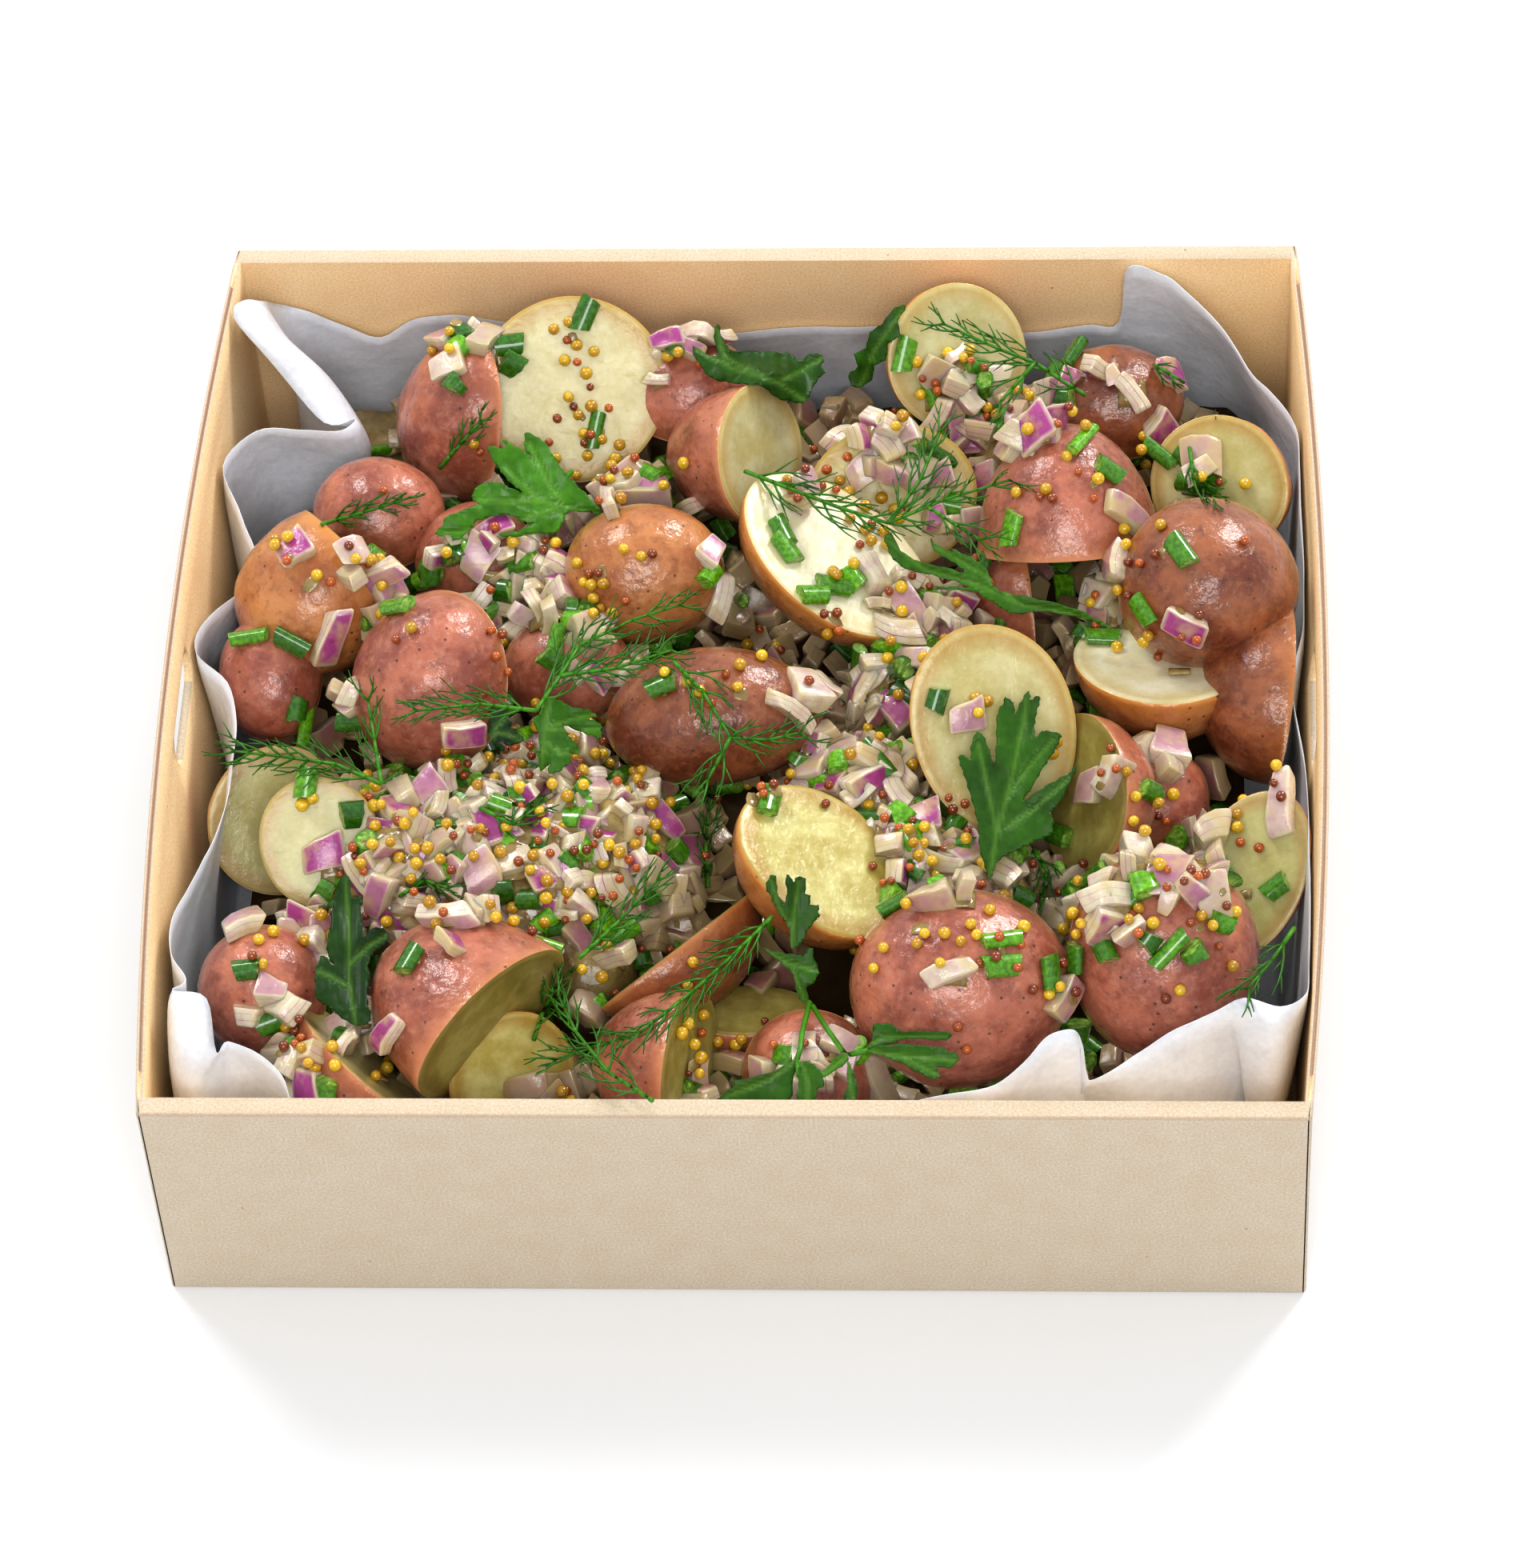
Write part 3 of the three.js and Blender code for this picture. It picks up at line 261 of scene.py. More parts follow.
def redOnion():
    material, tree, sockets, place = newMaterial("redOnion", {
        "IOR": 1.38, "Roughness": 0.25, "Coat Weight": 1.0, "Coat Roughness": 0.03, "Coat IOR": 1.5,
        "Subsurface Weight": 0.5, "Subsurface Scale": 0.002, "Subsurface Radius": (1, 0.85, 0.6)})
    depth, outermost, pick = readMarks(tree)
    veins, smears, wet = (
        addNode(tree, "TexNoise", {0: place, 2: 1 / (onion[size] * mm), 3: detail, 4: roughness})
        for size, detail, roughness in (("veinSize", 3, 0.5), ("smearSize", 4, 0.5), ("wetSize", 4, 0.6)))
    layers = addNode(tree, "Math", {0: depth, 1: onion["layers"]}, operation="MULTIPLY")
    layers = addNode(tree, "Math", {0: layers}, operation="FRACT")
    line = addNode(tree, "ValToRGB", {0: layers}, stops=[(0.84, 0), (0.94, 1)])
    strength = addNode(tree, "MapRange", {0: outermost, 3: 0.1, 4: 1})
    lined = addNode(tree, "Math", {0: line, 1: strength}, operation="MULTIPLY")
    lineTone = addNode(tree, "Mix", {0: veins, 6: onion["pink"], 7: onion["violet"]}, 2, data_type="RGBA")
    veined = addNode(tree, "ValToRGB", {0: veins}, stops=[(0.46, 0.03), (0.72, 0.5)])
    smeared = addNode(tree, "ValToRGB", {0: smears}, stops=[(0.48, 0), (0.64, 0.6)])
    height = addNode(tree, "SeparateXYZ", {0: place}, 2)
    # Painted shade: the lower a die lies, the more it takes the dark brown tone
    low, high = onion["lowShadeBelow"]
    paintedLowShade = addNode(tree, "MapRange", {0: height, 1: low * mm, 2: high * mm, 3: onion["lowShadeShare"], 4: 0})
    tone = onion["white"]
    for share, layer in ((pick, onion["shade"]), (veined, onion["mauve"]), (lined, lineTone),
                         (smeared, onion["sauce"]), (paintedLowShade, onion["paintedLowShade"])):
        tone = addNode(tree, "Mix", {0: share, 6: tone, 7: layer}, 2, data_type="RGBA")
    groove = addNode(tree, "Bump", {"Height": line, 0: 0.2, 1: 0.1 * mm}, invert=True)
    linkAll(tree, sockets, {
        "Base Color": tone,
        "Normal": addNode(tree, "Bump", {"Height": veins, 0: 0.4, 1: 0.3 * mm, "Normal": groove}),
        "Coat Normal": addNode(tree, "Bump", {"Height": wet, 0: 0.8, 1: 0.4 * mm})})
    return material


# Chive and spring onion rings: waxy tubes, dark to bright green outside and paler on the cut
chive = {"dark": "#2a6a12", "bright": "#78c020", "cut": "#b2d668", "ribSize": 0.9}


def chiveGreen():
    material, tree, sockets, place = newMaterial("chiveGreen", {
        "IOR": 1.4, "Roughness": 0.25, "Coat Weight": 0.8, "Coat Roughness": 0.04,
        "Subsurface Weight": 0.1, "Subsurface Scale": 0.001})
    cut, _, pick = readMarks(tree)
    tone = addNode(tree, "Mix", {0: pick, 6: chive["dark"], 7: chive["bright"]}, 2, data_type="RGBA")
    tone = addNode(tree, "Mix", {0: cut, 6: tone, 7: chive["cut"]}, 2, data_type="RGBA")
    ribs, tone = grained(tree, place, tone, chive["ribSize"], "#98a888", 2, 0.5)
    linkAll(tree, sockets, {
        "Base Color": tone,
        "Normal": addNode(tree, "Bump", {"Height": ribs, 0: 0.3, 1: 0.2 * mm})})
    return material


# Soaked mustard seeds: round and shiny, yellow-ochre or red-brown
seedTones = {"yellow": ("#be8e08", "#ecc626"), "brown": ("#7c3206", "#c8661a"), "spotSize": 0.9}


def mustardSeed(kind):
    dark, light = seedTones[kind]
    material, tree, sockets, place = newMaterial(kind + "MustardSeed", {
        "IOR": 1.45, "Roughness": 0.22, "Coat Weight": 1.0, "Coat Roughness": 0.03,
        "Subsurface Weight": 0.15, "Subsurface Scale": 0.001})
    tone = addNode(tree, "Mix", {0: readMarks(tree)[2], 6: dark, 7: light}, 2, data_type="RGBA")
    spots, tone = grained(tree, place, tone, seedTones["spotSize"], "#d8cdb8", 2, 0.5, (0.3, 0.6))
    linkAll(tree, sockets, {
        "Base Color": tone,
        "Normal": addNode(tree, "Bump", {"Height": spots, 0: 0.2, 1: 0.1 * mm})})
    return material


# Mustard dressing, an oily cream: beige with a wet shine; deep down between the pieces it is painted dark, a
# painted shade, and made dull
dressing = {"cream": "#a8935f", "oil": "#7c6434", "depth": "#33240f", "cloudSize": 5, "rippleSize": 2}


def mustardDressing():
    material, tree, sockets, place = newMaterial("mustardDressing", {
        "IOR": 1.46, "Roughness": 0.12, "Coat Weight": 0.8, "Coat Roughness": 0.03,
        "Subsurface Weight": 0.15, "Subsurface Scale": 0.002})
    # The deep share paints shade: the bed turns dark brown where it lies low between the pieces
    deep = addNode(tree, "Attribute", out=2, attribute_name="deep")
    clouds = addNode(tree, "TexNoise", {0: place, 2: 1 / (dressing["cloudSize"] * mm), 3: 5, 4: 0.65})
    ripples = addNode(tree, "TexNoise", {0: place, 2: 1 / (dressing["rippleSize"] * mm), 3: 2})
    tone = addNode(tree, "ValToRGB", {0: clouds}, stops=[(0.35, dressing["oil"]), (0.62, dressing["cream"])])
    linkAll(tree, sockets, {
        "Base Color": addNode(tree, "Mix", {0: deep, 6: tone, 7: dressing["depth"]}, 2, data_type="RGBA"),
        "Roughness": addNode(tree, "MapRange", {0: deep, 3: 0.15, 4: 0.6}),
        "Coat Weight": addNode(tree, "MapRange", {0: deep, 3: 0.5, 4: 0}),
        "Specular IOR Level": addNode(tree, "MapRange", {0: deep, 3: 0.5, 4: 0.1}),
        "Normal": addNode(tree, "Bump", {"Height": ripples, 0: 0.5, 1: 0.6 * mm})})
    return material


# Flat-leaf parsley: thin and waxy, dark to bright green, with paler veins that stand in furrows
leaf = {"dark": "#0e3006", "bright": "#468214", "vein": "#7cae46", "veinShare": 0.3, "cellSize": 2.6}


def parsleyLeaf():
    material, tree, sockets, place = newMaterial("parsleyLeaf", {
        "IOR": 1.4, "Roughness": 0.4, "Specular IOR Level": 0.35})
    vein, _, pick = readMarks(tree)
    tone = addNode(tree, "Mix", {0: pick, 6: leaf["dark"], 7: leaf["bright"]}, 2, data_type="RGBA")
    cells, tone = grained(tree, place, tone, leaf["cellSize"], "#bfc8b4")
    share = addNode(tree, "MapRange", {0: vein, 3: 0, 4: leaf["veinShare"]})
    furrow = addNode(tree, "Bump", {"Height": vein, 0: 0.8, 1: 0.5 * mm}, invert=True)
    linkAll(tree, sockets, {
        "Base Color": addNode(tree, "Mix", {0: share, 6: tone, 7: leaf["vein"]}, 2, data_type="RGBA"),
        "Normal": addNode(tree, "Bump", {"Height": cells, 0: 0.3, 1: 0.3 * mm, "Normal": furrow})})
    return material


# Dill: soft round threads, fresh green at the tips and lighter along the stem
dill = {"tip": "#1a560a", "stem": "#4f9420", "patchSize": 4}


def dillGreen():
    material, tree, sockets, place = newMaterial("dillGreen", {"IOR": 1.4, "Roughness": 0.35})
    thick = addNode(tree, "Attribute", out=2, attribute_name="thick")
    tone = addNode(tree, "Mix", {0: thick, 6: dill["tip"], 7: dill["stem"]}, 2, data_type="RGBA")
    patches, tone = grained(tree, place, tone, dill["patchSize"], "#b8c4a8", 3, 0.5)
    linkAll(tree, sockets, {
        "Base Color": tone,
        "Normal": addNode(tree, "Bump", {"Height": patches, 0: 0.2, 1: 0.2 * mm})})
    return material


# White sweep table, matt, hardly mottled
def sweepTable():
    material, tree, sockets, place = newMaterial("whiteSweep", {"Roughness": 0.9})
    clouds = addNode(tree, "TexNoise", {0: place, 2: 3, 3: 2})
    tone = addNode(tree, "ValToRGB", {0: clouds}, stops=[(0.3, "#e6e7e9"), (0.7, "#ebecee")])
    tree.links.new(tone, sockets["Base Color"])
    return material


print("materials ready")


def addPiece(name, mesh, materials, replaces=()):
    mesh.name = name
    mesh.transform(Matrix.Scale(mm, 4))
    mesh.polygons.foreach_set("use_smooth", [True] * len(mesh.polygons))
    for material in materials:
        mesh.materials.append(material)
    piece = bpy.data.objects.new(name, mesh)
    scene.collection.objects.link(piece)
    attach(piece, "root")
    if replaces:
        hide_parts(*replaces)
    return piece


def thicken(piece, thickness, offset=0):
    step = piece.modifiers.new("thickness", "SOLIDIFY")
    step.thickness, step.offset = thickness * mm, offset


def toMesh(bm):
    bm.normal_update()
    bmesh.ops.recalc_face_normals(bm, faces=bm.faces)
    mesh = bpy.data.meshes.new("made")
    bm.to_mesh(mesh)
    bm.free()
    return mesh


def splitAt(bm, at, way, **settings):
    parts = bm.verts[:] + bm.edges[:] + bm.faces[:]
    bmesh.ops.bisect_plane(bm, geom=parts, plane_co=at, plane_no=way, **settings)


def vertsOf(made):
    return [part for part in made if isinstance(part, bmesh.types.BMVert)]


def rimOf(made):
    return [part for part in made if isinstance(part, bmesh.types.BMEdge) and part.is_boundary]


# Tray: rolled front and back walls, thin side walls that bow outwards, two hand slots. The last three values
# are where the walls are divided, so that they can bow and the seams can be drawn
tray = {"side": 225, "height": 60, "floor": 1.5, "rolled": 4, "thin": 1.6, "bow": 5, "stretch": 45,
        "slotLength": 27, "slotHeight": 8, "slotAt": (-4, 49), "slotCut": 130, "edgeRadius": 0.7,
        "seamDepth": 0.9,
        "seamHalf": 0.2, "bowPitch": 10.2, "risePitch": 7.6, "seamLines": (-0.34, -0.16, 0.16, 0.34)}


def bowAt(distance):
    return 1 - min(1, distance / (tray["side"] / 2)) ** 2


def smoothBow(y, z):
    return tray["bow"] * (max(0, z) / tray["height"]) ** 1.5 * bowAt(abs(y))


# The bow as the model has it, in straight stretches
def wallBow(y, z):
    stretch = tray["stretch"]
    near = max(0, (math.floor(abs(y) / stretch + 0.5) - 0.5) * stretch)
    share = min(1, (abs(y) - near) / stretch)
    bow = bowAt(near) + (bowAt(near + stretch) - bowAt(near)) * share if near else bowAt(stretch / 2)
    return tray["bow"] * (max(0, z) / tray["height"]) ** 1.5 * bow


def buildTray():
    half, height = tray["side"] / 2, tray["height"]
    thin, rolled, seamAt = half - tray["thin"], half - tray["rolled"], half - tray["thin"] / 2
    bm = bmesh.new()
    bmesh.ops.create_cube(bm, size=1)
    bmesh.ops.scale(bm, vec=(2 * half, 2 * half, height), verts=bm.verts)
    bmesh.ops.translate(bm, vec=(0, 0, height / 2), verts=bm.verts)
    for sign in (-1, 1):
        splitAt(bm, (sign * thin, 0, 0), (1, 0, 0))
        splitAt(bm, (0, sign * rolled, 0), (0, 1, 0))
    lid = [face for face in bm.faces if face.normal.z > 0.9
           and abs(face.calc_center_median().x) < thin and abs(face.calc_center_median().y) < rolled]
    made = bmesh.ops.extrude_face_region(bm, geom=lid)["geom"]
    bmesh.ops.delete(bm, geom=lid, context="FACES_KEEP_BOUNDARY")
    for vert in vertsOf(made):
        vert.co.z = tray["floor"]
    for place in range(-10, 11):
        splitAt(bm, (0, place * tray["bowPitch"], 0), (0, 1, 0))
    for place in range(1, 8):
        splitAt(bm, (0, 0, place * tray["risePitch"]), (0, 0, 1))
    for sign, across in itertools.product((-1, 1), tray["seamLines"]):
        splitAt(bm, (sign * (seamAt + across), 0, 0), (1, 0, 0))
    for vert in bm.verts:
        inSeam = abs(abs(vert.co.x) - seamAt) < tray["seamHalf"]
        if inSeam and vert.co.z > height - 0.1 and abs(vert.co.y) < rolled - 0.1:
            vert.co.z -= tray["seamDepth"]
    for vert in bm.verts:
        if abs(vert.co.x) > thin - 0.1:
            vert.co.x += math.copysign(smoothBow(vert.co.y, vert.co.z), vert.co.x)
    sharp = [edge for edge in bm.edges if len(edge.link_faces) == 2 and edge.calc_face_angle() > 1
             and all(abs(vert.co.y) > rolled - 0.1 for vert in edge.verts)]
    bmesh.ops.bevel(bm, geom=sharp, offset=tray["edgeRadius"], affect="EDGES", segments=3, profile=0.5,
                    material=-1)
    return toMesh(bm)


# A bar with round ends that runs through both side walls
def slotCutter():
    bm = bmesh.new()
    end = tray["slotHeight"] / 2
    half = tray["slotLength"] / 2 - end
    bmesh.ops.create_circle(bm, cap_ends=True, segments=32, radius=end)
    for vert in bm.verts:
        vert.co.y += math.copysign(half, vert.co.y)
    made = bmesh.ops.extrude_face_region(bm, geom=bm.faces[:])["geom"]
    bmesh.ops.translate(bm, vec=(0, 0, tray["slotCut"] * 2), verts=vertsOf(made))
    bmesh.ops.rotate(bm, cent=(0, 0, 0), matrix=Matrix.Rotation(math.pi / 2, 3, "Y"), verts=bm.verts)
    bmesh.ops.translate(bm, vec=(-tray["slotCut"], *tray["slotAt"]), verts=bm.verts)
    return toMesh(bm)


def cutWith(mesh, cutter):
    body = bpy.data.objects.new("cutBody", mesh)
    knife = bpy.data.objects.new("cutKnife", cutter)
    scene.collection.objects.link(body)
    scene.collection.objects.link(knife)
    step = body.modifiers.new("slots", "BOOLEAN")
    step.operation, step.object, step.solver = "DIFFERENCE", knife, "EXACT"
    bpy.context.view_layer.update()
    made = bpy.data.meshes.new_from_object(body.evaluated_get(bpy.context.evaluated_depsgraph_get()))
    bpy.data.objects.remove(body)
    bpy.data.objects.remove(knife)
    return made


# Where the kraft is painted: the inner faces and a share of the tops get a lighter tone, painted light, and
# the seams and the strips just below the rolled tops get painted shade. Distances from the walls' tops and
# outer faces
trayMarks = {"floorTop": 5, "topPaintedLightShare": 0.12, "seamHeight": (0.3, 1.2), "seamSide": 1.4, "seamWidth": 0.3,
             "foldHeight": (0.15, 1.0), "foldSide": 0.6, "foldShadeShare": 0.35}


def paintTray(mesh):
    half, height = tray["side"] / 2, tray["height"]
    inside = mesh.attributes.new("inside", "FLOAT", "FACE")
    paintedCreaseShade = mesh.attributes.new("paintedCreaseShade", "FLOAT", "FACE")
    for face in mesh.polygons:
        centre, normal = face.center, face.normal
        below = {key: height - trayMarks[key][1] < centre.z < height - trayMarks[key][0]
                 for key in ("seamHeight", "foldHeight")}
        fromSeam = abs(centre.x) - smoothBow(centre.y, centre.z) - half + tray["thin"] / 2
        seam = below["seamHeight"] and abs(centre.x) > half - trayMarks["seamSide"]
        seam = seam and abs(centre.y) < half - tray["rolled"] and abs(normal.x) > 0.5
        seam = seam and abs(fromSeam) < trayMarks["seamWidth"]
        fold = below["foldHeight"] and abs(centre.y) > half - trayMarks["foldSide"]
        facingIn = normal.x * centre.x + normal.y * centre.y < -1
        facingIn = facingIn or normal.z > 0.5 and centre.z < trayMarks["floorTop"]
        # Inner faces take the lighter tone in full and the tops of the walls a share of it: painted light
        inside.data[face.index].value = 1 if facingIn else trayMarks["topPaintedLightShare"] if normal.z > 0.7 else 0
        # Seams and the strips just below the rolled tops take the crease tone: painted shade
        paintedCreaseShade.data[face.index].value = 1 if seam else trayMarks["foldShadeShare"] if fold else 0
    return mesh


trayMesh = paintTray(cutWith(buildTray(), slotCutter()))
trayPiece = addPiece("foldedTray", trayMesh, [kraftBoard()], ["tray"])
print("tray built", len(trayPiece.data.polygons))

# Liner: columns anticlockwise from the right wall, each with its foot's angle, its top and a point on the way
linerShape = {"thickness": 0.14, "rows": 14, "between": 5, "footHalf": (107, 105), "corner": 22,
              "lift": 0.7, "push": 2.5, "pushAt": 0.45, "crumple": 0.5, "crumpleSize": 17, "edgeWave": 0.5,
              "edgeWaveSize": 6}
linerColumns = [
    (-2, (110.5, -2, 50)), (3, (110.5, 5, 50)), (9, (113, 16, 50)), (15, (113, 30, 50)),
    (22, (113, 46, 50)), (28, (113, 60, 50)), (31.5, (112, 68, 53)), (36, (107, 77, 53)),
    (40, (102, 84, 53)), (43.5, (98, 92, 54)), (46.5, (94, 98, 55)), (49.5, (89, 102, 57)),
    (52, (84, 105, 59)), (54, (77, 105.5, 60)), (55.5, (75, 106.5, 42)), (58, (68, 107, 41)),
    (62.5, (55, 107, 39)), (68, (40, 107, 40)), (74, (30, 107, 41)), (80, (18, 107, 41)),
    (86, (7, 107, 41)), (93, (-6, 107, 39)), (100, (-20, 107, 38)), (107, (-34, 107, 38)),
    (113, (-48, 107, 40)), (118, (-58, 107, 43)), (122, (-67, 107, 45)), (125.5, (-75, 107, 44)),
    (128.5, (-83, 106, 39)), (131, (-90, 106, 42)), (133, (-97, 106.5, 46)),
    (135, (-104, 106.5, 49), (-101, 102, 30)),
    (136.6, (-109, 98, 60), (-103, 100, 44)), (138, (-111.5, 93, 60), (-99, 96, 42)),
    (139.4, (-102, 86, 50), (-92, 91, 38)), (141, (-93, 79, 42), (-86, 84, 30)),
    (142.7, (-86, 76, 47), (-86, 77, 26)), (144.5, (-88, 70, 50), (-88, 71, 26)),
    (146.8, (-96, 70, 50), (-96, 71, 27)), (149.5, (-106, 70, 50), (-105, 70, 28)),
    (153, (-112, 60, 50)), (157, (-107, 46, 50)), (161, (-103, 36, 50)), (166, (-105, 27, 50)),
    (171, (-112, 18, 50)), (175, (-113, 10, 50)), (179, (-106, 2, 50)), (184, (-103, -8, 50)),
    (189, (-103, -18, 50)), (194, (-103, -27, 50)), (199.5, (-105, -38, 50)), (205, (-109, -51, 51)),
    (209, (-111, -61, 54)), (213, (-110, -71, 56)), (216.5, (-106, -79, 58)),
    (219.5, (-108, -83, 60), (-110, -86, 42)),
    (222.5, (-101, -85, 60), (-108, -97, 48)),
    (225.5, (-99, -94, 55), (-103, -101, 44)),
    (228, (-97, -91, 54), (-97, -98, 36)), (231, (-91, -94, 54), (-91, -98, 34)),
    (234, (-86, -99, 54), (-86, -101, 34)), (237, (-83, -105, 52)), (241, (-76, -107, 48)),
    (247, (-55, -107, 46)), (255, (-35, -107, 45)), (263, (-15, -107, 45)), (271, (5, -107, 47)),
    (279, (20, -107, 51)), (284, (32, -105.5, 54)), (289, (43, -103.5, 55)),
    (294, (52, -102, 56)), (298, (58, -98, 58)), (301.5, (62.5, -93.5, 60)),
    (304.2, (67, -92, 60)), (305.4, (68.7, -93.5, 57), (68, -97, 30)),
    (306.6, (69.5, -96.5, 52), (69, -98, 30)), (308.6, (71, -97, 51), (71, -98, 30)),
    (313, (79, -92.5, 53)), (317, (87, -89, 56)), (320.5, (94, -86.5, 58)),
    (323.5, (100, -84, 60), (101, -92, 34)), (326.5, (107, -86, 60), (107, -92, 34)),
    (329.5, (112, -83, 60)), (333, (113, -72, 55)), (338, (114, -58, 53)), (344, (114, -42, 51)),
    (350, (113, -25, 50)), (355, (111.5, -11, 49)),
]


def footPoint(degrees):
    way = Vector((math.cos(math.radians(degrees)), math.sin(math.radians(degrees))))
    halfX, halfY = linerShape["footHalf"]
    corner = linerShape["corner"]
    near, far = 0, 200
    for _ in range(30):
        reach = (near + far) / 2
        dx = max(0, abs(way.x * reach) - halfX + corner)
        dy = max(0, abs(way.y * reach) - halfY + corner)
        near, far = (reach, far) if math.hypot(dx, dy) < corner else (near, reach)
    return Vector((way.x * near, way.y * near, tray["floor"] + linerShape["lift"]))


def keepInTray(point):
    side = tray["side"] / 2 - tray["thin"] + wallBow(point.y, point.z) - linerShape["lift"]
    end = tray["side"] / 2 - tray["rolled"] - linerShape["lift"]
    return Vector((max(-side, min(side, point.x)), max(-end, min(end, point.y)), point.z))


def bentLine(start, control, end, t):
    return start * (1 - t) ** 2 + control * 2 * t * (1 - t) + end * t * t


def curveThrough(before, start, end, after, t):
    return (start * 2 + (end - before) * t + (before * 2 - start * 5 + end * 4 - after) * t * t
            + (start * 3 - before - end * 3 + after) * t ** 3) * 0.5


def linerColumn(column):
    foot, tip = footPoint(column[0]), Vector(column[1])
    if len(column) > 2:
        between = Vector(column[2])
    else:
        outwards = Vector((foot.x, foot.y, 0)).normalized()
        between = foot.lerp(tip, linerShape["pushAt"]) + outwards * linerShape["push"]
    control = between * 2 - foot * 0.5 - tip * 0.5
    rows = linerShape["rows"]
    return [keepInTray(bentLine(foot, control, tip, row / rows)) for row in range(rows + 1)]


def buildLiner():
    columns = [linerColumn(column) for column in linerColumns]
    count, between, rows = len(columns), linerShape["between"], linerShape["rows"]
    bm = bmesh.new()
    bmesh.ops.create_grid(bm, x_segments=count * between, y_segments=rows, size=0.5)
    for vert in bm.verts:
        column, share = divmod(round((vert.co.x + 0.5) * count * between), between)
        row = round((vert.co.y + 0.5) * rows)
        four = [columns[(column + shift) % count][row] for shift in (-1, 0, 1, 2)]
        point = curveThrough(*four, share / between)
        fine = point / linerShape["crumpleSize"]
        crumple = Vector((noise.noise(fine), noise.noise(fine + Vector((9, 4, 1))), 0))
        point = point + crumple * linerShape["crumple"] * (row / rows)
        if row == rows:
            point.z += linerShape["edgeWave"] * noise.noise(point / linerShape["edgeWaveSize"])
        vert.co = keepInTray(point)
    bmesh.ops.remove_doubles(bm, verts=bm.verts, dist=1e-4)
    bottom = [edge for edge in bm.edges if edge.is_boundary
              and all(vert.co.z < tray["floor"] + 1.5 for vert in edge.verts)]
    made = bmesh.ops.extrude_edge_only(bm, edges=bottom)["geom"]
    bmesh.ops.scale(bm, vec=(0.9, 0.9, 1), verts=vertsOf(made))
    bmesh.ops.holes_fill(bm, edges=rimOf(made))
    return toMesh(bm)


linerPiece = addPiece("paperLiner", buildLiner(), [greaseproofPaper()], ["liner"])
thicken(linerPiece, linerShape["thickness"])
print("liner built", len(linerPiece.data.polygons))

